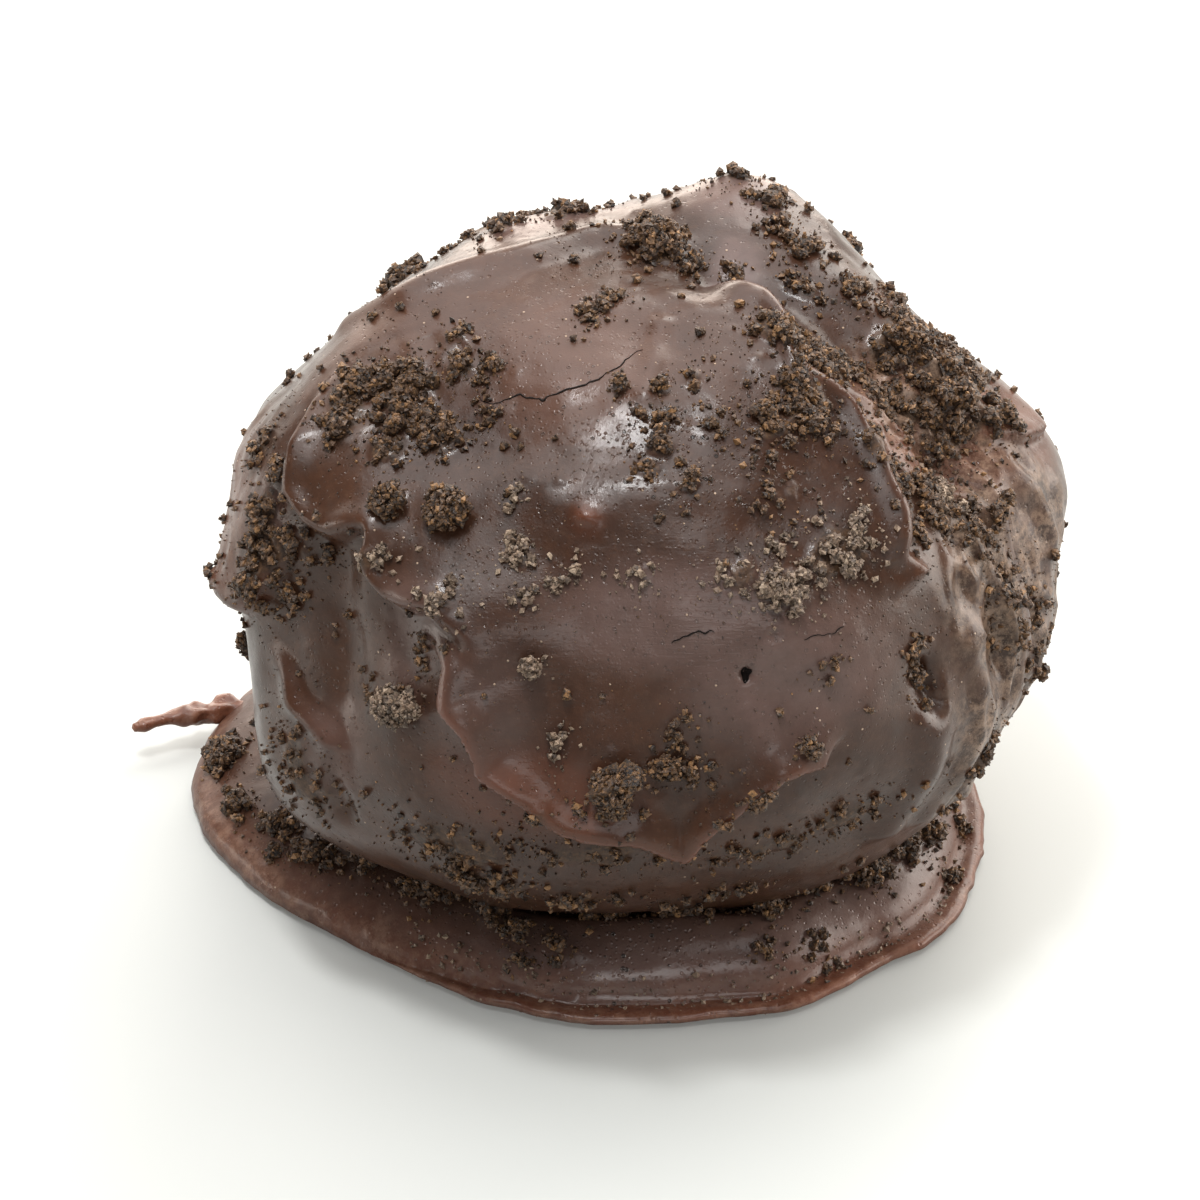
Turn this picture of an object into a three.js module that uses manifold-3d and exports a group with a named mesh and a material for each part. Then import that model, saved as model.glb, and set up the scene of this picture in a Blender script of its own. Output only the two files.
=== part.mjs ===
// A dipped chocolate truffle with crushed cookie crumbs, standing on the foot of chocolate that ran off it.
//
// Millimetres, +Z up. The origin is the middle of the flat underside. Longitude 0 is the front (-Y) and
// longitude 90 is the right side (+X). The truffle is one piece: the coated ball, its foot, the spike that
// the fork left at the rim, and the crumbs are fused together.

import * as THREE from 'three';
import { mergeVertices } from 'three/addons/utils/BufferGeometryUtils.js';
import Module from 'manifold-3d';

// ---------------------------------------------------------------- driving dimensions

const BALL_CENTRE = [2.3, 0, 14.6];
const BALL_SEMI_AXES = [18, 18, 15];
const BALL_COLUMNS = 56;
const BALL_ROWS = 38;
const FRONT_DENSITY = 0.35;       // how much closer the columns stand at the front than at the back
const BALL_UNDERSIDE = 0.9;       // the ball ends inside the foot, this high over the table
const SURFACE_RADIUS = 17;        // turns angles on the ball into millimetres over its surface
const FLAT_BLEND = 1.6;           // roundness of the corner between a flat and the ball
const STEEPEST_TO_FLAT = 0.05;    // a flat is ignored by directions that all but run along it

const FOOT_COLUMNS = 54;
const FOOT_HEIGHT = 2.9;          // top of the foot's rolled lip
const FOOT_WIDTH = 5.5;           // how far in from the rim the foot shows
const LIP_WIDTH = 3.2;            // from the rim in to the top of the lip
const GROOVE_DEPTH = 0.5;         // the lip falls off by this into the groove round the ball
const GROOVE_WIDTH = 1.4;
const SKIRT_HEIGHT = 0.7;         // thin edge in front of the rolled lip
const SKIRT_WIDTH = 1.0;
const SKIRT_SWING = 0.35;         // the skirt is this much wider on its widest side
const SKIRT_WIDEST_AT = 60;       // longitude of that side
const SKIRT_ENDS = [-0.35, 0.35]; // it fades out between these cosines of the angle from there
const SKIRT_ROUNDNESS = 0.4;      // powers that shape the skirt's and the lip's profiles
const LIP_FULLNESS = 1.3;
const LIP_ROUNDNESS = 0.5;
const LIP_START = 0.8;            // share of the skirt's width where the lip begins to rise
const LIP_INSETS = [0.15, 0.6, 1.1, 1.6, 2.3, LIP_WIDTH, LIP_WIDTH + GROOVE_WIDTH, FOOT_WIDTH];
const RIM_INSET = 0.12;           // the rim's lower corner is rounded off by this and the next
const RIM_HEIGHT = 0.16;

const SPIKE_ROOT = [-13.6, 7.8, 0.9];
const SPIKE_TIP = [-19.6, 5.3, 1.5];
const SPIKE_THICKNESS = 1.4;
const SPIKE_FLATNESS = 0.8;
const SPIKE_ARCH = 0.25;
const SPIKE_SIDES = 8;
// Its sections: share of the length, share of the thickness. A bead hangs near the tip.
const SPIKE_SECTIONS = [
  [0, 1], [0.35, 0.95], [0.55, 0.74], [0.72, 0.54], [0.84, 0.42], [0.92, 0.52], [0.98, 0.36],
];

const SMALLEST_FUSED_CRUMB = 0.9;
const CRUMB_LIFT = 0.22;          // share of its size that a crumb's middle stands over the chocolate
const CRUMB_UNEVENNESS = 0.4;     // how much the corners of a crumb differ in reach
const CRUMB_FLATNESS = 0.9;
const CRUMB_SIZE_FALL = 0.45;     // how much smaller the outermost crumb of a patch is
const GOLDEN_ANGLE = 2.39996;

// Flats pressed into the ball: longitude, latitude, depth under the round surface.
const FLATS = [
  [-127, 44, 1.8],    // back left slope
  [-171, 58, 2.3],    // back of the top
  [118, 37, 2.5],     // back right slope
  [-30, 58, 1.5],     // smooth face in front of the top
  [30, 52, 0.9],
  [70, 50, 1.9],      // right slope
  [-118, 42, 2.2],    // left flank
  [2, 10, 0.9],       // front wall
  [96, -8, 0.6],      // right flank
  [58, 8, 0.7],
  [-50, 10, 0.9],
  [-160, 10, 0.8],    // back
  [150, 15, 1.0],
  [0, 88, 1.6],       // top
  [-8, 34, 0.7],      // below the brow
  [4, 56, 0.4],       // below the top face
  [62, -38, 1.55],    // low on the right
  [-94, -2, 0.7],     // below the left ledge
];

// Soft swellings and hollows: longitude, latitude, width, height.
const LUMPS = [
  [148, 62, 2.6, 1.1],      // knob at the back of the top
  [92, 20, 3.0, 0.9],       // right shoulder
  [-74, -12, 2.4, -1.3],    // hollow under the left ledge
  [-62, -25, 3.8, 1.6],     // lobe low on the left
  [54, -32, 4.6, 1.8],      // low on the right
  [-91, 4, 2.4, -1.5],      // flank above the ledge
  [-64, 30, 3.2, 0.3],      // left shoulder
  [-20, 72, 3.0, 0.4],
  [4, -34, 5.5, -0.5],      // low in front
  [-25, -26, 4.0, 0.6],
  [80, 52, 2.2, 0.7],       // second rise on the right slope
  [-46, 6, 2.6, -0.6],      // hollow beside the tongue
  [40, 4, 0.9, -0.6],       // pocket on the right
  [-14, 7, 1.5, -0.35],     // hollow in the tongue
  [2, 63, 1.2, -0.3],       // dimples in the top face
  [-17, 66, 2.0, -0.25],
  [-3, 1, 2.0, 0.3],
  [54, 44, 1.1, 0.5],       // heaps caked over on the right slope
  [75, 46, 1.3, 0.6],
  [69, 37, 1.5, 0.7],
  [79, 35, 1.2, 0.6],
  [74, 27, 1.3, 0.6],
  [56, 32, 1.0, 0.5],
  [28, -16, 2.2, -0.5],     // hollow low in front
];

// Folds and valleys along a line of longitudes and latitudes: line, width, height.
const FOLDS = [
  [[[68, 74], [72, 64], [68, 52], [66, 40], [62, 26]], 1.4, -0.9],    // valley full of crumbs
  // far edge of the top face
  [[[-88, 42], [-84, 52], [-86, 62], [-92, 70], [-140, 79], [160, 84]], 0.75, 0.5],
  [[[-35, 14], [-32, 9], [-30, 4], [-27, 0]], 0.9, -0.45],            // hollow beside the tongue
  [[[9, 68], [6, 64], [3, 58], [1, 54]], 0.45, 0.25],                 // crest on the top face
  [[[41, 2], [41, -8], [38, -20]], 0.7, 0.55],                        // runs down the right
  [[[50, 8], [51, -6], [47, -22]], 0.6, 0.45],
  [[[60, 6], [61, -8], [58, -24]], 0.5, 0.35],
  [[[-48, 18], [-48, 12], [-45, 6], [-44, 0]], 0.8, -0.35],           // soft valley on the left
  [[[-43, -8], [-44, -18]], 0.35, -0.45],                             // crack beside the lobe
  [[[-34, 33], [-24, 35], [-10, 36], [2, 38], [12, 38], [20, 37]], 1.0, 0.27],    // brow in front
];

// Second coats of chocolate. Each has a visible edge, and a back along which it melts into the coat
// below: edge, back, thickness, reach from the edge.
const COATS = [
  {   // right edge of the front coat
    edge: [[60, 79], [62, 74], [60, 67], [52, 61], [43, 53], [48, 45], [48, 37], [44, 29], [41, 23], [44, 19],
      [36, 17]],
    back: [[5, 17], [0, 60], [-10, 84]], thickness: 1.0, reach: 7.5,
  },
  {   // left edge of the front coat
    edge: [[-72, 40], [-66, 34], [-62, 28], [-60, 23], [-54, 21], [-49, 21], [-43, 24], [-41, 19], [-37, 17],
      [-30, 17], [-24, 14], [-21, 10]],
    back: [[-5, 14], [-5, 45], [-60, 65]], thickness: 0.85, reach: 6,
  },
  {   // pointed tongue in front
    edge: [[-31, 15], [-26, 11], [-26, 7], [-23, 4], [-21, -1], [-17, -4], [-10, -8], [-2, -10], [6, -14],
      [10, -9], [14, -4], [18, -2], [24, -2], [28, 3]],
    back: [[18, 26], [-18, 30]], thickness: 1.15, reach: 6,
  },
  {   // rounded ledge on the left
    edge: [[-100, 10], [-90, 4], [-80, 1], [-72, 2], [-64, 4], [-59, 9], [-58, 16]],
    back: [[-66, 36], [-100, 40]], thickness: 0.85, reach: 6,
  },
  {   // lobe low on the left
    edge: [[-62, 3], [-55, 0], [-52, -3], [-46, -5], [-42, -7], [-42, -12], [-44, -19]],
    back: [[-54, -50], [-110, -50], [-110, -6]], thickness: 0.55, reach: 5,
  },
  {   // lip on the right shoulder
    edge: [[70, 22], [75, 25], [79, 21], [86, 18], [94, 20]],
    back: [[110, 60], [76, 50]], thickness: 0.6, reach: 4,
  },
];
const COAT_RIM = 0.4;             // how much thicker a coat is just inside its edge
const COAT_RIM_WIDTH = 0.5;
const COAT_SOFTNESS = 1.2;        // width of the step at a coat's edge
const COAT_BACK_FADE = 3.5;

// Unevenness of the hand dipped surface: waves per millimetre (as an angle), height.
const WAVES = [[0.16, 0.30], [0.33, 0.16], [0.70, 0.07], [1.5, 0.03]];
const FIRST_PHASE = 0.7;
// The same waves move the edges of the coats: waves, shift.
const EDGE_WAVES = [[0.9, 0.28, 1, 2], [2.1, 0.07, 3, 4]];

// Outline of the foot on the table: longitude, radius.
const FOOT_OUTLINE = [
  [-150, 17.2], [-119, 17.3], [-100, 17.3], [-88, 16.3], [-72, 15.1], [-58, 14.0], [-44, 13.5], [-30, 13.6],
  [-15, 14.5], [2, 15.2], [18, 15.6], [33, 16.8], [45, 16.4], [60, 17.3], [75, 17.1], [90, 17.0],
  [130, 16.6], [180, 16.8],
];
const FOOT_OUTLINE_BLEND = 0.015;
// Unevenness of its height round the rim: waves in a turn, where they start, share of the height.
const FOOT_WAVES = [[2, 60, 0.1], [5, 0, 0.05]];

// Patches of crumbs on the ball:
// longitude, latitude, half length, half width, turn, number of crumbs, size of the largest.
const BALL_CRUMBS = [
  [136, 86, 1.7, 1.3, 0, 8, 1.5],       // heap on the top
  [46, 56, 1.7, 0.9, 120, 7, 1.2],
  [76, 45, 1.7, 1.0, 0, 6, 1.5],        // heap in the right valley
  [73, 35, 2.0, 1.4, 0, 9, 1.6],
  [77, 27, 1.3, 0.8, 0, 4, 1.2],
  [58, 24, 1.2, 0.9, 0, 5, 1.1],
  [64, 19, 1.3, 1.0, 90, 4, 1.1],
  [126, 64, 1.0, 0.8, 0, 4, 1.1],       // knob at the back
  [98, 63, 1.1, 1.0, 0, 4, 1.0],
  [37, 50, 1.0, 0.9, 0, 4, 1.1],        // on the front coat
  [28, 47, 0.9, 0.8, 0, 4, 1.0],
  [37, 43, 0.8, 0.9, 0, 3, 0.9],
  [21, 22, 1.1, 0.9, 0, 4, 1.0],
  [31, 24, 1.2, 0.6, 0, 4, 0.9],
  [-6, 55, 0.3, 0.3, 0, 1, 0.9],        // singles by the highlight
  [4, 55, 0.4, 0.3, 0, 1, 0.9],
  [4, 45, 0.8, 0.7, 40, 4, 0.9],
  [9, 39, 0.6, 0.5, 0, 1, 0.9],
  [-63, 40, 1.1, 1.2, 0, 5, 1.3],       // big patch at the upper left
  [-56, 45, 1.2, 0.9, 0, 5, 1.2],
  [-50, 51, 1.1, 0.7, 0, 3, 0.9],
  [-51, 40, 1.4, 0.9, 0, 5, 1.2],
  [-58, 34, 0.8, 0.8, 0, 3, 1.0],
  [-42, 41, 0.9, 0.7, 0, 2, 1.0],
  [-42, 30, 0.5, 0.5, 0, 1, 1.9],       // round flat clumps
  [-32, 31, 0.5, 0.5, 0, 1, 2.0],
  [-64, 17, 0.6, 1.3, 0, 4, 1.2],       // left side
  [-64, 24, 0.6, 0.7, 0, 2, 1.0],
  [-61, 8, 1.0, 0.9, 0, 4, 1.1],
  [-33, 4, 0.4, 0.4, 0, 1, 2.2],        // ball of crumbs
  [-3, -1, 0.4, 0.4, 0, 1, 2.4],        // grey lump
  [4, 0, 0.7, 0.5, 0, 2, 1.1],
  [-15, 13, 0.3, 0.3, 0, 1, 1.2],
  [-13, -6, 1.2, 0.6, 0, 3, 0.9],       // under the tongue
  [14, -4, 0.6, 0.5, 0, 1, 1.1],
  [21, 2, 0.3, 0.3, 0, 1, 1.2],
  [40, 4, 0.5, 1.1, 0, 3, 1.0],         // in the pocket
  [60, 7, 0.8, 1.6, 0, 3, 0.9],
  [69, -9, 0.3, 0.3, 0, 1, 0.9],
  [-24, -22, 1.8, 0.8, 0, 4, 1.1],      // low in front
  [-82, -13, 0.2, 0.2, 0, 1, 1.2],      // dark block on the left
  [-130, 30, 1.8, 1.4, 0, 5, 1.3],      // back
  [-165, 35, 1.2, 1.0, 0, 3, 1.1],
  [170, 12, 1.6, 1.2, 0, 4, 1.2],
  [140, 30, 1.8, 1.2, 0, 4, 1.3],
  [-125, -4, 1.2, 1.0, 0, 3, 1.0],
  [115, 4, 1.2, 1.2, 0, 3, 1.1],
];

// Patches of crumbs on the foot: longitude, distance in from the rim, half length, half width,
// number of crumbs, size of the largest.
const FOOT_CRUMBS = [
  [-99, 1.3, 1.4, 0.8, 14, 1.2],        // heap at the left
  [-85, 1.4, 1.2, 0.6, 6, 1.0],
  [-75, 1.9, 1.3, 0.6, 8, 1.0],         // groove, left
  [-63, 1.8, 1.6, 0.6, 9, 1.0],
  [-37, 2.6, 1.6, 0.8, 14, 1.0],        // groove, front left
  [-28, 3.1, 1.3, 0.6, 9, 0.9],
  [-19, 2.7, 1.0, 0.5, 5, 1.0],
  [-13, 2.2, 0.8, 0.5, 5, 0.9],
  [-5, 1.9, 0.6, 0.5, 3, 0.9],
  [35, 3.3, 1.1, 0.6, 8, 0.9],          // groove, right
  [57, 2.9, 1.1, 0.8, 14, 1.2],
  [67, 2.6, 1.0, 0.6, 8, 1.0],
  [75, 1.9, 1.0, 0.5, 6, 0.9],
  [140, 2.6, 2.0, 0.8, 4, 1.1],         // back
  [-150, 2.8, 2.0, 0.8, 4, 1.1],
];

// ---------------------------------------------------------------- small mathematics

const radians = (degrees) => degrees * Math.PI / 180;
const clamp01 = (value) => Math.min(Math.max(value, 0), 1);
const smooth = (t) => t * t * (3 - 2 * t);

function direction(longitude, latitude) {
  const lon = radians(longitude);
  const lat = radians(latitude);
  return [Math.sin(lon) * Math.cos(lat), -Math.cos(lon) * Math.cos(lat), Math.sin(lat)];
}

const dot = (a, b) => a.reduce((sum, value, axis) => sum + value * b[axis], 0);
const scaled = (a, factor) => a.map((value) => value * factor);

// The lesser of two values, with the corner between them rounded off over a width.
function smoothMin(a, b, width) {
  const h = Math.max(width - Math.abs(a - b), 0) / width;
  return Math.min(a, b) - h * h * width / 4;
}

// A slow wave over space: sines whose arguments are themselves bent by sines.
function wave([px, py, pz], frequency, phase) {
  const x = px * frequency;
  const y = py * frequency;
  const z = pz * frequency;
  const bentX = Math.sin(x + 1.9 * Math.sin(0.8 * y + phase));
  const bentY = Math.sin(y + 1.7 * Math.sin(0.9 * z + 2 * phase));
  const bentZ = Math.sin(z + 1.8 * Math.sin(0.85 * x + 3 * phase));
  return (bentX * bentY + bentZ) / 2;
}

// Distance from a point to a run of straight pieces, in two or three dimensions.
function distanceToLine(point, line) {
  let nearest = Infinity;
  for (let i = 0; i + 1 < line.length; i += 1) {
    const along = line[i + 1].map((value, axis) => value - line[i][axis]);
    const offset = point.map((value, axis) => value - line[i][axis]);
    const t = clamp01(dot(offset, along) / dot(along, along));
    nearest = Math.min(nearest, Math.hypot(...offset.map((value, axis) => value - t * along[axis])));
  }
  return nearest;
}

function isInside([x, y], outline) {
  let inside = false;
  outline.forEach(([x1, y1], i) => {
    const [x2, y2] = outline[(i + 1) % outline.length];
    const crosses = y > Math.min(y1, y2) && y <= Math.max(y1, y2);
    if (crosses && x < x1 + (y - y1) * (x2 - x1) / (y2 - y1)) inside = !inside;
  });
  return inside;
}

// Longitude and latitude laid out flat in millimetres, with true widths along every latitude.
function flatMap([longitude, latitude]) {
  const lat = radians(latitude);
  return [SURFACE_RADIUS * radians(longitude) * Math.cos(lat), SURFACE_RADIUS * lat];
}

// A number from 0 to 1 that looks random and is the same every time.
function chance(a, b) {
  const value = Math.sin(a * 12.9898 + b * 78.233 + 1.7) * 43758.5453;
  return value - Math.floor(value);
}

// ---------------------------------------------------------------- the coated ball

const flats = FLATS.map(([longitude, latitude, depth]) => {
  const normal = direction(longitude, latitude);
  const support = Math.hypot(...normal.map((value, axis) => value * BALL_SEMI_AXES[axis]));
  return { normal, distance: support - depth };
});
const folds = FOLDS.map(([places, width, height]) => {
  const line = places.map(([longitude, latitude]) => scaled(direction(longitude, latitude), SURFACE_RADIUS));
  return { line, width, height };
});
const coats = COATS.map((coat) => {
  const edge = coat.edge.map(flatMap);
  const back = coat.back.map(flatMap);
  const seam = [edge[edge.length - 1], ...back, edge[0]];
  return { ...coat, edge, seam, outline: [...edge, ...back] };
});

// Height that a coat adds: a step at its edge with a thicker rim, which thins out towards its back.
function coatHeight(coat, place) {
  const distance = distanceToLine(place, coat.edge);
  const depth = isInside(place, coat.outline) ? distance : -distance;
  const step = smooth(clamp01(depth / COAT_SOFTNESS + 0.5));
  const thinning = clamp01(1 - depth / coat.reach) ** 2;
  const rim = 1 + COAT_RIM * Math.exp(-(((depth - COAT_RIM_WIDTH) / COAT_RIM_WIDTH) ** 2));
  const backFade = smooth(clamp01(distanceToLine(place, coat.seam) / COAT_BACK_FADE));
  return coat.thickness * step * thinning * rim * backFade;
}

// Distance of the chocolate's surface from the middle of the ball, in one direction.
function ballRadius(u) {
  let radius = 1 / Math.hypot(...u.map((value, axis) => value / BALL_SEMI_AXES[axis]));
  for (const { normal, distance } of flats) {
    radius = smoothMin(radius, distance / Math.max(dot(u, normal), STEEPEST_TO_FLAT), FLAT_BLEND);
  }
  for (const [longitude, latitude, width, height] of LUMPS) {
    const chordSquared = (2 - 2 * dot(u, direction(longitude, latitude))) * SURFACE_RADIUS ** 2;
    radius += height * Math.exp(-chordSquared / (2 * width * width));
  }
  const point = scaled(u, SURFACE_RADIUS);
  for (const { line, width, height } of folds) {
    radius += height * Math.exp(-(distanceToLine(point, line) ** 2) / (2 * width * width));
  }
  const place = flatMap([Math.atan2(u[0], -u[1]) * 180 / Math.PI, Math.asin(u[2]) * 180 / Math.PI]);
  for (const [frequency, shift, phaseX, phaseY] of EDGE_WAVES) {
    place[0] += shift * wave(point, frequency, phaseX);
    place[1] += shift * wave(point, frequency, phaseY);
  }
  for (const coat of coats) radius += coatHeight(coat, place);
  WAVES.forEach(([frequency, height], i) => {
    radius += height * wave(point, frequency, FIRST_PHASE + i);
  });
  return radius;
}

function ballPoint(u, above = 0) {
  const radius = ballRadius(u) + above;
  return u.map((value, axis) => BALL_CENTRE[axis] + value * radius);
}

// A closed surface from rings of points, with one point at each end.
function ringSurface(first, rings, last) {
  const columns = rings[0].length;
  const positions = [first, ...rings.flat(), last].flat();
  const faces = [];
  const at = (row, column) => 1 + row * columns + (column % columns);
  const end = 1 + rings.length * columns;
  for (let column = 0; column < columns; column += 1) {
    faces.push(0, at(0, column + 1), at(0, column));
    for (let row = 0; row + 1 < rings.length; row += 1) {
      faces.push(at(row, column), at(row, column + 1), at(row + 1, column + 1));
      faces.push(at(row, column), at(row + 1, column + 1), at(row + 1, column));
    }
    faces.push(at(rings.length - 1, column), at(rings.length - 1, column + 1), end);
  }
  const geometry = new THREE.BufferGeometry();
  geometry.setAttribute('position', new THREE.Float32BufferAttribute(positions, 3));
  geometry.setIndex(faces);
  return geometry;
}

// Columns stand closer together at the front, and rings run from the underside to the top.
function ballGeometry() {
  const onTable = (point) => [point[0], point[1], Math.max(point[2], BALL_UNDERSIDE)];
  const rings = [];
  for (let row = 1; row < BALL_ROWS; row += 1) {
    const latitude = -90 + 180 * row / BALL_ROWS;
    const ring = [];
    for (let column = 0; column < BALL_COLUMNS; column += 1) {
      const turn = 2 * Math.PI * column / BALL_COLUMNS;
      const longitude = (turn - FRONT_DENSITY * Math.sin(turn)) * 180 / Math.PI;
      ring.push(onTable(ballPoint(direction(longitude, latitude))));
    }
    rings.push(ring);
  }
  return ringSurface(onTable(ballPoint([0, 0, -1])), rings, ballPoint([0, 0, 1]));
}

// ---------------------------------------------------------------- the foot

// Radius of the foot's rim: the outline's radii, each weighted by how near its longitude is.
function footRadius(longitude) {
  let total = 0;
  let weights = 0;
  for (const [place, radius] of FOOT_OUTLINE) {
    const weight = Math.exp((Math.cos(radians(longitude - place)) - 1) / FOOT_OUTLINE_BLEND);
    total += weight * radius;
    weights += weight;
  }
  return total / weights;
}

// Height of the foot at a distance in from its rim: a thin skirt, then a rolled lip.
function footHeight(longitude, inset) {
  const turn = Math.cos(radians(longitude - SKIRT_WIDEST_AT));
  const skirt = SKIRT_WIDTH + SKIRT_SWING * turn;
  const skirtShare = smooth(clamp01((turn - SKIRT_ENDS[0]) / (SKIRT_ENDS[1] - SKIRT_ENDS[0])));
  const skirtFull = SKIRT_HEIGHT * skirtShare;
  const skirtHeight = skirtFull * clamp01(inset / skirt) ** SKIRT_ROUNDNESS;
  const lipStart = LIP_START * skirt * skirtShare;
  const t = clamp01((inset - lipStart) / (LIP_WIDTH - lipStart));
  const lip = (1 - (1 - t) ** LIP_FULLNESS) ** LIP_ROUNDNESS;
  const groove = GROOVE_DEPTH * smooth(clamp01((inset - LIP_WIDTH) / GROOVE_WIDTH));
  let fullHeight = FOOT_HEIGHT;
  for (const [turns, start, share] of FOOT_WAVES) {
    fullHeight += FOOT_HEIGHT * share * Math.sin(radians(turns * longitude + start));
  }
  return skirtHeight + (fullHeight - skirtFull) * lip - groove;
}

function footPoint(longitude, inset, height) {
  const lon = radians(longitude);
  const radius = footRadius(longitude) - inset;
  return [radius * Math.sin(lon), -radius * Math.cos(lon), height];
}

function footGeometry() {
  const ring = (inset, height) => Array.from({ length: FOOT_COLUMNS }, (_, column) => {
    const longitude = 360 * column / FOOT_COLUMNS;
    return footPoint(longitude, inset, height ?? footHeight(longitude, inset));
  });
  const rings = [ring(RIM_INSET, 0), ring(0, RIM_HEIGHT), ...LIP_INSETS.map((inset) => ring(inset))];
  return ringSurface([0, 0, 0], rings, [0, 0, FOOT_HEIGHT]);
}

// ---------------------------------------------------------------- the spike and the crumbs

// A spike that narrows to its tip, with a small bead at the end.
function spikeGeometry() {
  const root = new THREE.Vector3(...SPIKE_ROOT);
  const along = new THREE.Vector3(...SPIKE_TIP).sub(root);
  const side = new THREE.Vector3(-along.y, along.x, 0).normalize();
  const rings = SPIKE_SECTIONS.map(([share, width]) => Array.from({ length: SPIKE_SIDES }, (_, corner) => {
    const angle = 2 * Math.PI * corner / SPIKE_SIDES;
    const half = SPIKE_THICKNESS / 2 * width;
    const point = root.clone().addScaledVector(along, share).addScaledVector(side, half * Math.cos(angle));
    point.z += half * SPIKE_FLATNESS * Math.sin(angle) + SPIKE_ARCH * Math.sin(Math.PI * share);
    return point.toArray();
  }));
  return ringSurface(SPIKE_ROOT, rings, SPIKE_TIP);
}

// An uneven lump with twenty faces, turned at random and a little flattened.
function crumbGeometry(middle, size, seed) {
  const geometry = new THREE.IcosahedronGeometry(size / 2, 0);
  geometry.deleteAttribute('normal');
  geometry.deleteAttribute('uv');
  const crumb = mergeVertices(geometry);
  const position = crumb.getAttribute('position');
  for (let i = 0; i < position.count; i += 1) {
    const reach = 1 + CRUMB_UNEVENNESS * (chance(seed, i) - 0.5);
    position.setX(i, position.getX(i) * reach);
    position.setY(i, position.getY(i) * reach);
    position.setZ(i, position.getZ(i) * reach * CRUMB_FLATNESS);
  }
  crumb.rotateX(2 * Math.PI * chance(seed, position.count));
  crumb.rotateZ(2 * Math.PI * chance(seed, position.count + 1));
  crumb.translate(...middle);
  return crumb;
}

// Crumbs of one patch lie on a sunflower spiral, the largest in the middle.
function patchCrumbs(halfLength, halfWidth, count, largest) {
  return Array.from({ length: count }, (_, i) => {
    const reach = Math.sqrt(i / count);
    return {
      across: halfLength * reach * Math.cos(i * GOLDEN_ANGLE),
      along: halfWidth * reach * Math.sin(i * GOLDEN_ANGLE),
      size: largest * (1 - CRUMB_SIZE_FALL * i / count),
    };
  });
}

function ballCrumbs() {
  return BALL_CRUMBS.flatMap(([longitude, latitude, halfLength, halfWidth, turn, count, largest], patch) => {
    const normal = new THREE.Vector3(...direction(longitude, latitude));
    const east = new THREE.Vector3(...direction(longitude + 90, 0));
    const north = normal.clone().cross(east);
    const spin = radians(turn);
    return patchCrumbs(halfLength, halfWidth, count, largest).map(({ across, along, size }, i) => {
      const u = normal.clone()
        .addScaledVector(east, (across * Math.cos(spin) - along * Math.sin(spin)) / SURFACE_RADIUS)
        .addScaledVector(north, (across * Math.sin(spin) + along * Math.cos(spin)) / SURFACE_RADIUS)
        .normalize();
      return { middle: ballPoint(u.toArray(), CRUMB_LIFT * size), size, seed: 100 * patch + i };
    });
  });
}

function footCrumbs() {
  return FOOT_CRUMBS.flatMap(([longitude, inset, halfLength, halfWidth, count, largest], patch) => (
    patchCrumbs(halfLength, halfWidth, count, largest).map(({ across, along, size }, i) => {
      const place = longitude + across * 180 / (Math.PI * footRadius(longitude));
      const height = footHeight(place, inset + along) + CRUMB_LIFT * size;
      return { middle: footPoint(place, inset + along, height), size, seed: 9000 + 100 * patch + i };
    })
  ));
}

// ---------------------------------------------------------------- fusing it all

const wasm = await Module();
wasm.setup();

function toSolid(geometry) {
  return new wasm.Manifold(new wasm.Mesh({
    numProp: 3,
    vertProperties: new Float32Array(geometry.getAttribute('position').array),
    triVerts: new Uint32Array(geometry.getIndex().array),
  }));
}

// Keeps the one outer shell: pockets that the crumbs close off are filled, loose scraps are dropped.
function outerShell(positions, faces) {
  const parent = Array.from({ length: positions.length / 3 }, (_, i) => i);
  const rootOf = (i) => {
    let root = i;
    while (parent[root] !== root) root = parent[root];
    parent[i] = root;
    return root;
  };
  for (let f = 0; f < faces.length; f += 3) {
    parent[rootOf(faces[f + 1])] = rootOf(faces[f]);
    parent[rootOf(faces[f + 2])] = rootOf(faces[f]);
  }
  const counts = new Map();
  faces.forEach((vertex) => counts.set(rootOf(vertex), (counts.get(rootOf(vertex)) ?? 0) + 1));
  const largest = [...counts.entries()].sort((a, b) => b[1] - a[1])[0][0];
  const kept = [];
  for (let f = 0; f < faces.length; f += 3) {
    if (rootOf(faces[f]) === largest) kept.push(faces[f], faces[f + 1], faces[f + 2]);
  }
  return kept;
}

function truffleGeometry() {
  let solid = toSolid(ballGeometry()).add(toSolid(footGeometry())).add(toSolid(spikeGeometry()));
  for (const { middle, size, seed } of [...ballCrumbs(), ...footCrumbs()]) {
    if (size >= SMALLEST_FUSED_CRUMB && middle[2] > size) {
      solid = solid.add(toSolid(crumbGeometry(middle, size, seed)));
    }
  }
  const mesh = solid.getMesh();
  const geometry = new THREE.BufferGeometry();
  geometry.setAttribute('position', new THREE.BufferAttribute(new Float32Array(mesh.vertProperties), 3));
  geometry.setIndex(outerShell(mesh.vertProperties, mesh.triVerts));
  geometry.computeVertexNormals();
  return geometry;
}

// ---------------------------------------------------------------- the object

const darkChocolate = new THREE.MeshStandardMaterial({ color: 0x4a3832, roughness: 0.38, metalness: 0 });

const truffle = new THREE.Mesh(truffleGeometry(), darkChocolate);
truffle.name = 'truffle';

const object = new THREE.Group();
object.add(truffle);

export default object;
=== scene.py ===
"""A hand dipped chocolate truffle with crushed cookie crumbs, on the foot of chocolate that ran off it.

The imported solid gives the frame. Every visible piece is worked out here in millimetres in that frame, and
put into its mesh in metres. Longitude 0 is the front (-Y) and longitude 90 is the right side (+X).
"""

import functools
import math

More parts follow.
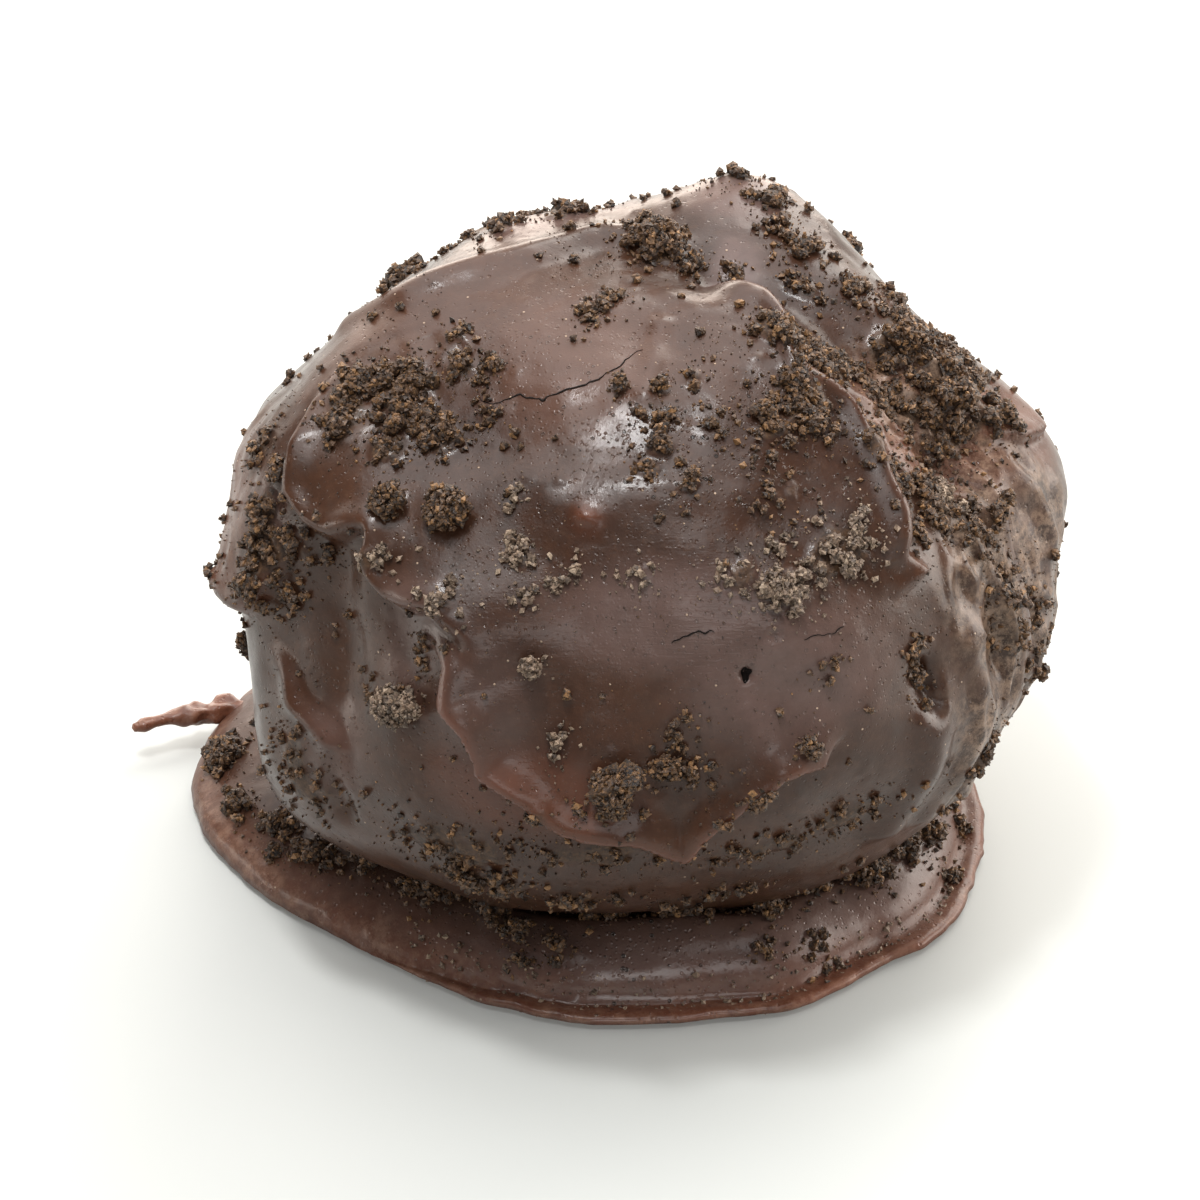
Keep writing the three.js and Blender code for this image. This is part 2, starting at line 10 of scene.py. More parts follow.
import bpy
import numpy as np
from bpy.props import FloatProperty, FloatVectorProperty, IntProperty, PointerProperty
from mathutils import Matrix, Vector


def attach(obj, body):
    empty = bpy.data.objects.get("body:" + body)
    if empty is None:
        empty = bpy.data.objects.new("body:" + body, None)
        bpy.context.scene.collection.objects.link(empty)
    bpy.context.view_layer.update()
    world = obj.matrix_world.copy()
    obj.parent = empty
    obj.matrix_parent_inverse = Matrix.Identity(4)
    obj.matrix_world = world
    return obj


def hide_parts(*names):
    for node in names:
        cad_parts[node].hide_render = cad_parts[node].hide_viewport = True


bl_info = {
    "name": "Chocolate Truffle",
    "version": (1, 0, 0),
    "blender": (4, 5, 0),
    "location": "View3D > Sidebar > Truffle",
    "description": "Makes a dipped chocolate truffle with crushed cookie crumbs around its packed solid",
    "category": "Add Mesh",
}

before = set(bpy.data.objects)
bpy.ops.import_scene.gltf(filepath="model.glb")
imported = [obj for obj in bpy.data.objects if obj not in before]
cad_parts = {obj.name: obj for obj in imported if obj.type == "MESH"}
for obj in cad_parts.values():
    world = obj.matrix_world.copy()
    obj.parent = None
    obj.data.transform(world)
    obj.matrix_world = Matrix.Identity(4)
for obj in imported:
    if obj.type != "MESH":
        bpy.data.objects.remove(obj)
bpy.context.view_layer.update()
NODE = "truffle"
BODY = "root"

MM = 0.001

# ---------------------------------------------------------------- the ball's form, as the solid has it

BALL_CENTRE = np.array([2.3, 0.0, 14.6])
BALL_SEMI_AXES = np.array([18.0, 18.0, 15.0])
BALL_UNDERSIDE = 0.9
SURFACE_RADIUS = 17.0             # the surface's usual distance from the middle, for widths along it
FLAT_BLEND = 1.6
STEEPEST_TO_FLAT = 0.05

# Flats pressed into the ball: longitude, latitude, depth under the round surface.
FLATS = (
    (-127, 44, 1.8), (-171, 58, 2.3), (118, 37, 2.5), (-30, 58, 1.5), (30, 52, 0.9), (70, 50, 1.9),
    (-118, 42, 2.2), (2, 10, 0.9), (96, -8, 0.6), (58, 8, 0.7), (-50, 10, 0.9), (-160, 10, 0.8),
    (150, 15, 1.0), (0, 88, 1.6), (-8, 34, 0.7), (4, 56, 0.4), (62, -38, 1.55), (-94, -2, 0.7),
)

# Soft swellings and hollows: longitude, latitude, width, height.
LUMPS = (
    (148, 62, 2.6, 1.1), (92, 20, 3.0, 0.9), (-74, -12, 2.4, -1.3), (-62, -25, 3.8, 1.6),
    (54, -32, 4.6, 1.8), (-91, 4, 2.4, -1.5), (-64, 30, 3.2, 0.3), (-20, 72, 3.0, 0.4),
    (4, -34, 5.5, -0.5), (-25, -26, 4.0, 0.6), (80, 52, 2.2, 0.7), (-46, 6, 2.6, -0.6),
    (40, 4, 0.9, -0.6), (-14, 7, 1.5, -0.35), (2, 63, 1.2, -0.3), (-17, 66, 2.0, -0.25),
    (-3, 1, 2.0, 0.3), (54, 44, 1.1, 0.5), (75, 46, 1.3, 0.6), (69, 37, 1.5, 0.7), (79, 35, 1.2, 0.6),
    (74, 27, 1.3, 0.6), (56, 32, 1.0, 0.5), (28, -16, 2.2, -0.5),
)

# Folds and valleys along a line of longitudes and latitudes: line, width, height.
FOLDS = (
    (((68, 74), (72, 64), (68, 52), (66, 40), (62, 26)), 1.4, -0.9),
    (((-88, 42), (-84, 52), (-86, 62), (-92, 70), (-140, 79), (160, 84)), 0.75, 0.5),
    (((-35, 14), (-32, 9), (-30, 4), (-27, 0)), 0.9, -0.45),
    (((9, 68), (6, 64), (3, 58), (1, 54)), 0.45, 0.25),
    (((41, 2), (41, -8), (38, -20)), 0.7, 0.55),
    (((50, 8), (51, -6), (47, -22)), 0.6, 0.45),
    (((60, 6), (61, -8), (58, -24)), 0.5, 0.35),
    (((-48, 18), (-48, 12), (-45, 6), (-44, 0)), 0.8, -0.35),
    (((-43, -8), (-44, -18)), 0.35, -0.45),
    (((-34, 33), (-24, 35), (-10, 36), (2, 38), (12, 38), (20, 37)), 1.0, 0.27),
)

# Second coats: visible edge, back along which the coat melts into the one below, thickness, reach, softness,
# and how far the thin edge turns reddish.
COATS = (
    (((60, 79), (62, 74), (60, 67), (52, 61), (43, 53), (48, 45), (48, 37), (44, 29), (41, 23), (44, 19),
      (36, 17)),
     ((5, 17), (0, 60), (-10, 84)), 1.0, 7.5, 0.4, 0.2),
    (((-72, 40), (-66, 34), (-62, 28), (-60, 23), (-54, 21), (-49, 21), (-43, 24), (-41, 19), (-37, 17),
      (-30, 17), (-24, 14), (-21, 10)),
     ((-5, 14), (-5, 45), (-60, 65)), 0.85, 6.0, 0.7, 0.12),
    (((-31, 15), (-26, 11), (-26, 7), (-23, 4), (-21, -1), (-17, -4), (-10, -8), (-2, -10), (6, -14),
      (10, -9), (14, -4), (18, -2), (24, -2), (28, 3)),
     ((18, 26), (-18, 30)), 1.15, 6.0, 0.3, 0.55),
    (((-100, 10), (-90, 4), (-80, 1), (-72, 2), (-64, 4), (-59, 9), (-58, 16)),
     ((-66, 36), (-100, 40)), 0.85, 6.0, 0.8, 0.3),
    (((-62, 3), (-55, 0), (-52, -3), (-46, -5), (-42, -7), (-42, -12), (-44, -19)),
     ((-54, -50), (-110, -50), (-110, -6)), 0.55, 5.0, 0.9, 0.1),
    (((70, 22), (75, 25), (79, 21), (86, 18), (94, 20)),
     ((110, 60), (76, 50)), 0.6, 4.0, 0.3, 0.4),
)
COAT_RIM = 0.4                    # a coat's edge is thicker by this share
COAT_RIM_WIDTH = 0.5
COAT_BACK_FADE = 3.5
THIN_EDGE_WIDTH = 0.30            # reddish line just inside a coat's edge

# Slow waves over the whole ball: turns of a wave to the millimetre, height.
WAVES = ((0.16, 0.30), (0.33, 0.16), (0.70, 0.07), (1.5, 0.03))
FIRST_PHASE = 0.7
# Waves that make the coats' edges stray: the same, and the phases across and up.
EDGE_WAVES = ((0.9, 0.28, 1, 2), (2.1, 0.07, 3, 4))

# ---------------------------------------------------------------- finer relief that only shows close up

# Layers of noise are written as the size of a bump, its height and the layer's seed.
GRAIN = ((2.2, 0.05, 11), (0.9, 0.022, 12), (0.42, 0.010, 13))

# Areas of the ball are ellipses: longitude, latitude, half width, half height, and a last value.
# Where the coat is rough and pitted, and the relief there in millimetres.
ROUGH_AREAS = (
    (64, 0, 19, 34, 0.42),
    (68, 36, 15, 14, 0.35),
    (-78, 14, 16, 16, 0.16),
    (-60, 42, 13, 13, 0.10),
)
ROUGHEST = 0.42
ROUGH_FADE = (1.6, 1.2)           # full roughness in the middle of an area, none where this line falls to 0
ROUGH_GRAIN = 1.4
ROUGH_STRETCH = 0.45              # the pits are drawn out downwards by this
PITS = ((ROUGH_GRAIN, 1.0, 21), (ROUGH_GRAIN / 2.1, 0.5, 22))
CREST_HEIGHT = 0.9
PIT_DEPTH = 1.6

# Finishes of the coat: a milky bloom, which on the upper faces is also painted top light; a grey painted
# sheen that stands in for reflections of the lamps; tiny bubbles; and a brushed surface.
FINISH_AREAS = {
    # bloom: a milky mauve bloom, laid mostly on the upper faces, where it also paints them lighter as top
    # light
    "bloom_and_top_light": ((-22, 60, 16, 14, 1.0), (-70, 55, 18, 20, 0.5), (25, 62, 14, 12, 0.4), (-15, 8, 18, 14, 0.15)),
    # painted sheen: grey colour where the coat would mirror the lamps
    "painted_sheen": (
        (3, 20, 14, 7, 0.95), (20, 11, 14, 9, 0.9), (-22, 4, 8, 12, 0.35), (-33, 13, 5, 8, 0.7),
        (-44, -8, 6, 6, 0.4), (68, 6, 6, 14, 0.6), (138, 66, 8, 7, 1.0), (-146, 64, 14, 6, 1.0),
        (86, 73, 7, 4, 1.0), (-69, 17, 8, 5, 0.8),
    ),
    "bubbles": ((10, 44, 18, 9, 1.0), (-12, 46, 8, 7, 0.7), (-30, 60, 14, 10, 0.4), (4, 22, 30, 14, 0.25)),
    "brushed": ((12, 20, 14, 10, 1.0), (-14, 16, 10, 12, 0.5), (-24, -4, 12, 10, 0.6)),
}
# Where the coat is thin and reddish brown, besides its edges.
RUSSET_AREAS = ((69, 34, 14, 12, 0.7), (-80, 8, 12, 14, 0.5), (-14, -5, 12, 6, 0.4), (84, 22, 8, 6, 0.35))
AREA_FADE = 1.5                   # an area ends at so many half widths from its middle
BLISTER = (-9.2, 33.5, 0.45, 0.5)  # longitude, latitude, width, how reddish

# Small faults: longitude, latitude, width, height.
FAULTS = (
    (14, 12, 0.16, -0.5),         # pinhole
    (18, 17, 0.42, 0.16),         # burst bubble: its ring and its middle
    (18, 17, 0.20, -0.24),
    (-10.2, 33.6, 0.27, 0.20),    # blister
    (-8.4, 33.4, 0.27, 0.18),
    (40.4, 5.2, 0.34, -0.7),      # pocket torn in the coat
    (41.0, 2.6, 0.36, -0.8),
    (41.6, 0.2, 0.30, -0.6),
    (26, 52, 0.9, -0.18),         # dents in the top face
    (4, 56, 0.7, -0.16),
)
# Cracks, drawn as near black strips of painted shade: line of longitudes and latitudes, width.
CRACKS = (
    (((-41, 48), (-37, 48), (-32, 51), (-25, 51), (-20, 54), (-12, 56), (-9, 58), (0, 63)), 0.11),
    (((4, 17.0), (7, 18.1), (10, 18.2)), 0.08),
    (((22, 15.8), (25, 15.6), (28, 16)), 0.07),
)
CRACK_STEP = 0.06                 # length of one piece of a crack's line
CRACK_STRAYS = ((0.7, 1.0, 31), (0.22, 0.6, 32))
CRACK_WANDER = 0.16               # how far it strays to the sides
CRACK_WIDTHS = (0.3, 0.5, 33)     # its width swells and shrinks by this layer of noise
CRACK_FULLNESS = 0.75
CRACK_ENDS = 0.03                 # the ends' place on the half sine that tapers it
CRACK_LIFT = 0.025                # its edges lie this high over the coat
CRACK_KEEL = 0.06                 # and its keel this deep under it
PINHOLE = (14, 12, 0.19, 0.30)    # longitude, latitude, half width, half height
PINHOLE_DEPTH = 0.10
PINHOLE_SIDES = 24
PINHOLE_WAVES = ((3, 1, 0.18), (5, 0, 0.10))  # unevenness of its rim: waves round it, start, share

# ---------------------------------------------------------------- foot and spike

FOOT_HEIGHT = 2.9
FOOT_WIDTH = 5.5                  # how far in from the rim the foot shows
LIP_WIDTH = 3.2                   # from the rim to the top of the rolled lip
LIP_FULLNESS = 1.3
LIP_ROUNDNESS = 0.5
LIP_START = 0.8
GROOVE_DEPTH = 0.5                # the lip falls off into the groove round the ball
GROOVE_WIDTH = 1.4
SKIRT_HEIGHT = 0.7
SKIRT_WIDTH = 1.0
SKIRT_SWING = 0.35
SKIRT_WIDEST_AT = 60
SKIRT_ROUNDNESS = 0.4
SKIRT_ENDS = (-0.35, 0.35)        # the skirt fades out between these cosines from its widest place
RIM_UNDERCUT = 0.9                # the rim curls up from the table over this width
RIM_LIFT = 0.32
FOOT_OUTLINE = (
    (-150, 17.2), (-119, 17.3), (-100, 17.3), (-88, 16.3), (-72, 15.1), (-58, 14.0), (-44, 13.5), (-30, 13.6),
    (-15, 14.5), (2, 15.2), (18, 15.6), (33, 16.8), (45, 16.4), (60, 17.3), (75, 17.1), (90, 17.0),
    (130, 16.6), (180, 16.8),
)
FOOT_OUTLINE_BLEND = 0.015
FOOT_WAVES = ((2, 60, 0.1), (5, 0, 0.05))  # waves round the foot, start, share of its height
# Rows of the foot's mesh: the underside's, from the flat to the rim, as inset and height, then those on top.
UNDER_ROWS = ((RIM_UNDERCUT, 0.0), (RIM_UNDERCUT * 0.5, RIM_LIFT * 0.6), (0.12, RIM_LIFT))
TOP_ROWS = 44
TOP_ROW_SPREAD = 1.3              # the rows stand closer near the rim
HIDDEN_INSET = 7.0                # the last row is hidden under the ball
MIDDLE_INSET = 9.0                # and the two end points count as this far in
FOOT_GRAIN = ((0.9, 0.035, 41), (0.35, 0.012, 42))
FOOT_GRAIN_FROM = 0.3             # inset at which the grain has its full height
RIM_STRAYS = ((1.4, 0.10, 43), (0.5, 0.04, 44))
RIM_DEPTH = 1.2                   # inset over which the rim strays, and turns thin and reddish
FOOT_DRYNESS = 0.5                # how rough the thin rim is
SKIRT_GLOW = 55.0                 # how far round the front the foot carries its painted sheen and its extra redness, in degrees
FOOT_REDNESS_AND_FRONT_LIGHT = (0.5, 0.5)         # how reddish the rim is all round, and so much more at the front, where the extra is painted light on the lit front
# Painted sheen on the foot's lip: grey colour that stands in for the lamps' reflection, strongest in front.
FOOT_PAINTED_SHEEN = 0.9
FOOT_PAINTED_SHEEN_BACK = 0.08             # painted sheen at the back, as a share of that in front
FOOT_PAINTED_SHEEN_AT = 1.9                # inset where it is strongest
FOOT_PAINTED_SHEEN_WIDTH = 1.5
FOOT_MATTNESS = 0.4
LIP_BUBBLES_AT = 9.0
LIP_BUBBLES_REACH = 16.0

SPIKE_ROOT = np.array([-13.6, 7.8, 0.9])
SPIKE_TIP = np.array([-19.6, 5.3, 1.5])
SPIKE_THICKNESS = 1.4
SPIKE_FLATNESS = 0.8
SPIKE_ARCH = 0.25
SPIKE_SECTIONS = ((0, 1), (0.35, 0.95), (0.55, 0.74), (0.72, 0.54), (0.84, 0.42), (0.92, 0.52), (0.98, 0.36))
SPIKE_SIDES = 40
SPIKE_ROWS = 60
SPIKE_LAST_ROW = 0.985
SPIKE_KNOBS = (0.5, 0.5, 51)
SPIKE_REDNESS = 0.9
SPIKE_DRYNESS = 0.36

# ---------------------------------------------------------------- crumbs

DARK, PALE = 0, 1
# Patches on the ball: longitude, latitude, half length, half width, turn, crumbs, size of the largest, and
# PALE where they aren't dark.
BALL_CRUMBS = (
    (136, 86, 1.7, 1.3, 0, 8, 1.5), (82, 81, 1.0, 0.5, 0, 3, 0.8), (-22, 71, 1.1, 0.5, 60, 4, 0.7),
    (80, 73, 1.2, 0.4, 20, 4, 0.8), (46, 56, 1.7, 0.9, 120, 7, 1.2), (76, 45, 1.7, 1.0, 0, 6, 1.5),
    (73, 35, 2.0, 1.4, 0, 9, 1.6), (77, 27, 1.3, 0.8, 0, 4, 1.2), (58, 24, 1.2, 0.9, 0, 5, 1.1, PALE),
    (64, 19, 1.3, 1.0, 90, 4, 1.1), (126, 64, 1.0, 0.8, 0, 4, 1.1), (147, 63, 1.4, 0.4, 0, 4, 0.8),
    (98, 63, 1.1, 1.0, 0, 4, 1.0), (83, 55, 0.8, 0.7, 0, 2, 0.8), (37, 50, 1.0, 0.9, 0, 4, 1.1),
    (28, 47, 0.9, 0.8, 0, 4, 1.0), (37, 43, 0.8, 0.9, 0, 3, 0.9), (21, 22, 1.1, 0.9, 0, 4, 1.0, PALE),
    (31, 24, 1.2, 0.6, 0, 4, 0.9, PALE), (-6, 55, 0.3, 0.3, 0, 1, 0.9), (4, 55, 0.4, 0.3, 0, 1, 0.9),
    (4, 45, 0.8, 0.7, 40, 4, 0.9), (9, 39, 0.6, 0.5, 0, 1, 0.9), (-63, 40, 1.1, 1.2, 0, 5, 1.3),
    (-56, 45, 1.2, 0.9, 0, 5, 1.2), (-50, 51, 1.1, 0.7, 0, 3, 0.9), (-51, 40, 1.4, 0.9, 0, 5, 1.2),
    (-58, 34, 0.8, 0.8, 0, 3, 1.0), (-42, 41, 0.9, 0.7, 0, 2, 1.0), (-42, 30, 0.5, 0.5, 0, 1, 1.9),
    (-32, 31, 0.5, 0.5, 0, 1, 2.0), (-64, 17, 0.6, 1.3, 0, 4, 1.2), (-64, 24, 0.6, 0.7, 0, 2, 1.0),
    (-61, 8, 1.0, 0.9, 0, 4, 1.1), (-33, 4, 0.4, 0.4, 0, 1, 2.2, PALE), (-3, -1, 0.4, 0.4, 0, 1, 2.4),
    (4, 0, 0.7, 0.5, 0, 2, 1.1), (-15, 13, 0.3, 0.3, 0, 1, 1.2, PALE), (-13, -6, 1.2, 0.6, 0, 3, 0.9),
    (14, -4, 0.6, 0.5, 0, 1, 1.1), (21, 2, 0.3, 0.3, 0, 1, 1.2), (40, 4, 0.5, 1.1, 0, 3, 1.0),
    (60, 7, 0.8, 1.6, 0, 3, 0.9), (69, -9, 0.3, 0.3, 0, 1, 0.9), (-24, -22, 1.8, 0.8, 0, 4, 1.1),
    (-122, 62, 1.4, 0.5, 0, 4, 0.8), (-150, 66, 1.6, 0.5, 0, 4, 0.8), (-82, -13, 0.2, 0.2, 0, 1, 1.2),
    (-130, 30, 1.8, 1.4, 0, 5, 1.3), (-165, 35, 1.2, 1.0, 0, 3, 1.1), (170, 12, 1.6, 1.2, 0, 4, 1.2),
    (140, 30, 1.8, 1.2, 0, 4, 1.3), (-125, -4, 1.2, 1.0, 0, 3, 1.0), (115, 4, 1.2, 1.2, 0, 3, 1.1),
)
# Patches of finer crumbs between them, as above.
FINE_CRUMBS = (
    (-25, 70, 0.5, 0.9, 0, 6, 0.6), (-17, 75, 0.6, 0.3, 0, 4, 0.5), (43, 59, 1.4, 0.7, 120, 10, 0.7),
    (53, 51, 1.5, 0.8, 130, 12, 0.8), (62, 42, 1.4, 0.8, 110, 9, 0.7), (83, 55, 0.9, 0.6, 0, 6, 0.7),
    (92, 46, 1.2, 0.8, 0, 7, 0.7), (88, 38, 1.4, 0.9, 20, 8, 0.7), (80, 62, 1.2, 0.5, 60, 6, 0.6),
    (110, 66, 1.0, 0.8, 0, 6, 0.6), (66, 30, 1.2, 0.9, 90, 9, 0.8), (50, 40, 0.9, 0.5, 90, 5, 0.6),
    (46, 23, 0.6, 0.5, 0, 4, 0.7), (35, 28, 0.5, 0.9, 0, 5, 0.6, PALE), (21, 28, 0.7, 0.3, 0, 4, 0.5, PALE),
    (14, 25, 1.3, 0.8, 0, 6, 0.4, PALE), (24, 35, 1.2, 1.0, 0, 5, 0.4), (0, 50, 0.4, 0.3, 0, 2, 0.5),
    (5, 49, 0.5, 0.4, 0, 4, 0.6), (1, 41, 0.6, 0.4, 0, 5, 0.5), (14, 56, 0.8, 0.6, 0, 3, 0.5),
    (15, 47, 1.0, 0.8, 0, 4, 0.5), (-59, 55, 0.6, 0.5, 0, 4, 0.6), (-43, 53, 0.5, 0.8, 0, 5, 0.6),
    (-49, 35, 0.9, 0.6, 0, 6, 0.7), (-36, 46, 0.6, 0.5, 0, 4, 0.5), (-57, 17, 0.8, 0.8, 0, 6, 0.7),
    (-56, 9, 0.7, 0.5, 0, 5, 0.6), (-51, 18, 0.4, 0.4, 0, 3, 0.5), (-39, 2, 0.3, 0.3, 0, 1, 0.5),
    (-40, 22, 0.9, 0.4, 40, 6, 0.5, PALE), (-31, 12, 0.3, 1.0, 0, 5, 0.5), (2, 0, 0.7, 0.6, 0, 5, 0.6),
    (7, -1, 0.9, 0.5, 0, 6, 0.6), (5, 5, 0.5, 0.8, 0, 5, 0.5), (-11, 3, 0.4, 0.6, 0, 4, 0.6, PALE),
    (-17, 22, 0.5, 0.5, 0, 5, 0.5, PALE), (-13, 24, 0.6, 0.3, 0, 4, 0.45, PALE),
    (-10, 26, 0.3, 0.3, 0, 2, 0.4, PALE), (-21, 29, 0.3, 0.3, 0, 3, 0.4, PALE),
    (-23, 35, 0.3, 0.6, 0, 4, 0.5, PALE), (0, 26, 0.8, 0.6, 0, 5, 0.35, PALE),
    (-5, -5, 0.8, 0.4, 0, 6, 0.5), (10, -7, 0.5, 0.3, 0, 3, 0.5), (17, -3, 1.0, 0.4, 0, 5, 0.6),
    (25, 11, 0.5, 0.5, 0, 4, 0.5), (-26, -17, 2.6, 1.2, 0, 13, 0.5), (-5, -15, 2.6, 0.9, 0, 10, 0.5),
    (16, -17, 2.6, 0.8, 0, 9, 0.5), (30, -14, 1.6, 0.9, 0, 7, 0.5), (-20, -24, 1.2, 0.6, 0, 8, 0.7),
    (-8, -27, 1.8, 0.5, 0, 8, 0.6), (14, -29, 1.6, 0.4, 0, 5, 0.6), (56, -16, 0.7, 1.4, 0, 7, 0.6),
    (39, 9, 0.5, 0.4, 0, 4, 0.5), (-50, -13, 1.6, 1.7, 0, 12, 0.5), (60, 7, 1.0, 2.6, 0, 14, 0.5),
    (68, -2, 0.9, 2.4, 0, 10, 0.5), (-74, 2, 0.8, 1.2, 0, 6, 0.6), (-72, 24, 0.7, 1.0, 0, 6, 0.6),
    (78, 45, 2.0, 1.3, 0, 26, 0.85), (86, 34, 1.5, 1.8, 0, 16, 0.8), (60, 50, 1.6, 0.8, 130, 18, 0.8),
    (53, 56, 1.4, 0.7, 120, 14, 0.8), (54, 25, 1.5, 1.2, 0, 20, 0.85), (58, 19, 1.2, 1.0, 0, 12, 0.8),
    (50, 31, 1.0, 0.9, 0, 8, 0.7), (73, 33, 2.6, 1.7, 60, 22, 0.7), (64, 38, 1.6, 1.2, 0, 12, 0.8),
    (-56, 42, 2.0, 1.1, -15, 30, 0.85), (-44, 40, 1.3, 0.9, -15, 14, 0.8), (-60, 36, 1.0, 1.0, 0, 10, 0.8),
    (149, 85, 1.7, 1.2, 0, 24, 0.8), (-62, 13, 1.1, 1.7, 0, 18, 0.8), (37, 46, 1.2, 1.4, 0, 14, 0.8),
    (28, 44, 1.3, 1.0, 0, 8, 0.7), (30, 26, 1.6, 1.0, 30, 14, 0.7, PALE),
    (20, 23, 1.1, 0.8, 0, 12, 0.75, PALE), (46, 36, 1.2, 1.2, 0, 6, 0.7),
    (-28, 20, 0.9, 0.7, 0, 7, 0.7, PALE), (-19, 27, 0.8, 0.6, 0, 7, 0.6, PALE),
    (-140, 50, 2.4, 1.6, 0, 12, 0.6), (160, 40, 2.4, 1.6, 0, 12, 0.6), (-150, 5, 2.6, 1.6, 0, 12, 0.6),
    (120, -10, 2.2, 1.6, 0, 10, 0.6), (-110, -10, 2.2, 1.6, 0, 10, 0.6), (175, -15, 2.4, 1.4, 0, 10, 0.6),
)
# Patches on the foot: longitude, inset, half length, half width, crumbs, size of the largest.
FOOT_CRUMBS = (
    (-99, 1.3, 1.4, 0.8, 14, 1.2), (-85, 1.4, 1.2, 0.6, 6, 1.0), (-75, 1.9, 1.3, 0.6, 8, 1.0),
    (-63, 1.8, 1.6, 0.6, 9, 1.0), (-70, 0.95, 0.8, 0.3, 3, 0.8), (-52, 2.4, 1.0, 0.5, 5, 0.8),
    (-37, 2.6, 1.6, 0.8, 14, 1.0), (-28, 3.1, 1.3, 0.6, 9, 0.9), (-19, 2.7, 1.0, 0.5, 5, 1.0),
    (-13, 2.2, 0.8, 0.5, 5, 0.9), (-5, 1.9, 0.6, 0.5, 3, 0.9), (-11, 1.25, 0.4, 0.2, 2, 0.8),
    (5, 3.5, 1.4, 0.4, 5, 0.8), (20, 3.5, 1.4, 0.4, 6, 0.8), (35, 3.3, 1.1, 0.6, 8, 0.9),
    (30, 1.7, 0.9, 0.3, 4, 0.6), (40, 1.3, 1.0, 0.5, 7, 0.5), (47, 3.3, 0.8, 0.5, 5, 0.8),
    (57, 2.9, 1.1, 0.8, 14, 1.2), (67, 2.6, 1.0, 0.6, 8, 1.0), (75, 1.9, 1.0, 0.5, 6, 0.9),
    (85, 1.0, 0.8, 0.4, 4, 0.8), (72, 0.9, 0.7, 0.3, 3, 0.8), (140, 2.6, 2.0, 0.8, 4, 1.1),
    (-150, 2.8, 2.0, 0.8, 4, 1.1),
)
SMALLEST_FUSED_CRUMB = 0.9        # smaller crumbs stray from their places
CRUMB_LIFT = 0.22
CRUMB_SIZE_FALL = 0.45
GOLDEN_ANGLE = 2.39996
PATCH_JITTER = 0.16               # how far a crumb strays from the spiral, as a share of the patch
LOBE_SIZE = 0.44                  # a crumb is made of lobes, one more for each such step of its size
LOBE_SHARES = (0.46, 0.76)        # a lobe's size as a share of its crumb's
LOBE_STRAY = (0.7, 1.4)           # how far a lobe leans out, as a share of the room for it in its crumb
LOBE_FLATNESS = 0.6
CORE_SHARE = 0.90                 # the dark core's size in a lobe covered in grains
CHIP_SIZES = (0.13, 0.34)         # grains of cookie
FINE_SIZES = (0.06, 0.13)
GRAIN_COVER = 46                  # grains of each kind on a lobe 1 mm across
FEWEST_GRAINS = 2
GRAIN_STAND = (0.80, 1.04)        # how far from the lobe's middle its grains stand, in lobe radii
BURIED_GRAIN = 0.86               # grains nearer to another lobe's middle than this, in radii, are left out
LOWEST_GRAIN = -0.3               # grains are left off the side of a lobe that faces the coat
GRAIN_UNEVENNESS = 0.7            # how far a grain's corners are pulled in and out
GRAIN_STRETCH = 0.3
# Loose grains round a patch: layer, least number, and so many more to the square millimetre, sizes.
LOOSE_ON_BALL = (("chips", 4, 5, CHIP_SIZES), ("grains", 10, 12, FINE_SIZES))
LOOSE_ON_FOOT = (("chips", 8, 6, CHIP_SIZES), ("grains", 14, 14, FINE_SIZES))
LOOSE_MARGIN = 0.25               # they lie this far past the patch
LOOSE_SPREAD = 0.5
FOOT_LOOSE_SPREAD = 0.6
FOOT_LOOSE_MARGINS = (0.5, 0.3)
FOOT_LOOSE_FROM = 0.3
CAKE_FROM_CRUMB = 0.35            # how fully a patch is caked, for a crumb 1 mm across
CAKE_FROM_COUNT = 16              # and a patch of so many crumbs is fully caked
CAKE_FADE = 1.35
CAKE_EDGES = ((1.1, 0.45, 71), (0.45, 0.25, 72))
CAKE_CONTRAST = 1.6
CAKE_THRESHOLD = 0.45
CAKE_HEIGHT = 0.22                # crumbs caked under the coat lift it by this
CAKE_LEVEL = 0.6
CAKE_LUMPS = ((0.9, 0.45, 75), (0.45, 0.4, 73), (0.24, 0.3, 74))
SKIRT_GRAINS = 420
SKIRT_GRAINS_ROUND = (-35, 75)
SKIRT_GRAINS_INSETS = (0.1, 1.3)
SKIRT_GRAINS_SHRINK = (0.4, 1.0)
SINGLE_CRUMBS = 330
SINGLE_SIZES = (0.16, 0.55)
SINGLE_SHRINK = (0.6, 1.0)
SINGLE_LOWEST = -40
SINGLE_LEFT_OUT = (0.35, 0.62)    # share of single crumbs left out all over, and so much more in front
SMOOTH_FRONT = (-8, 35, 26, 28)   # longitude, latitude, width and height of the smooth front
DUST_SIZES = (0.04, 0.10)
DUST_LOWEST = -0.75
DUST_CLUMPS = 2.5                 # size of the clumps that the dust lies in
DUST_BY_CRUMBS = 0.6
DUST_LEAST = 0.12
# Shades of the grains of each layer, from 0 for dark to 1 for light.
TONES = {"cores": (0.0, 0.4), "chips": (0.1, 1.0), "grains": (0.2, 1.0)}
DUST_TONES = (0.0, 0.8)

# ---------------------------------------------------------------- finishes

# Colours are sRGB hex codes.
COATING_COLOUR, COATING_COLOUR_TOO = "#362015", "#462c1e"
THIN_COATING_COLOUR = "#784632"
COATING_GLAZE = 0.28              # strength of the thin clear gloss over the chocolate
FOOT_GLAZE = 0.7                  # and so much more on the front of the foot, which ran wet
FOOT_GLAZE_REACH = 26
BUMP_HEIGHT = 0.02
CRUMB_BUMP_HEIGHT = 0.06
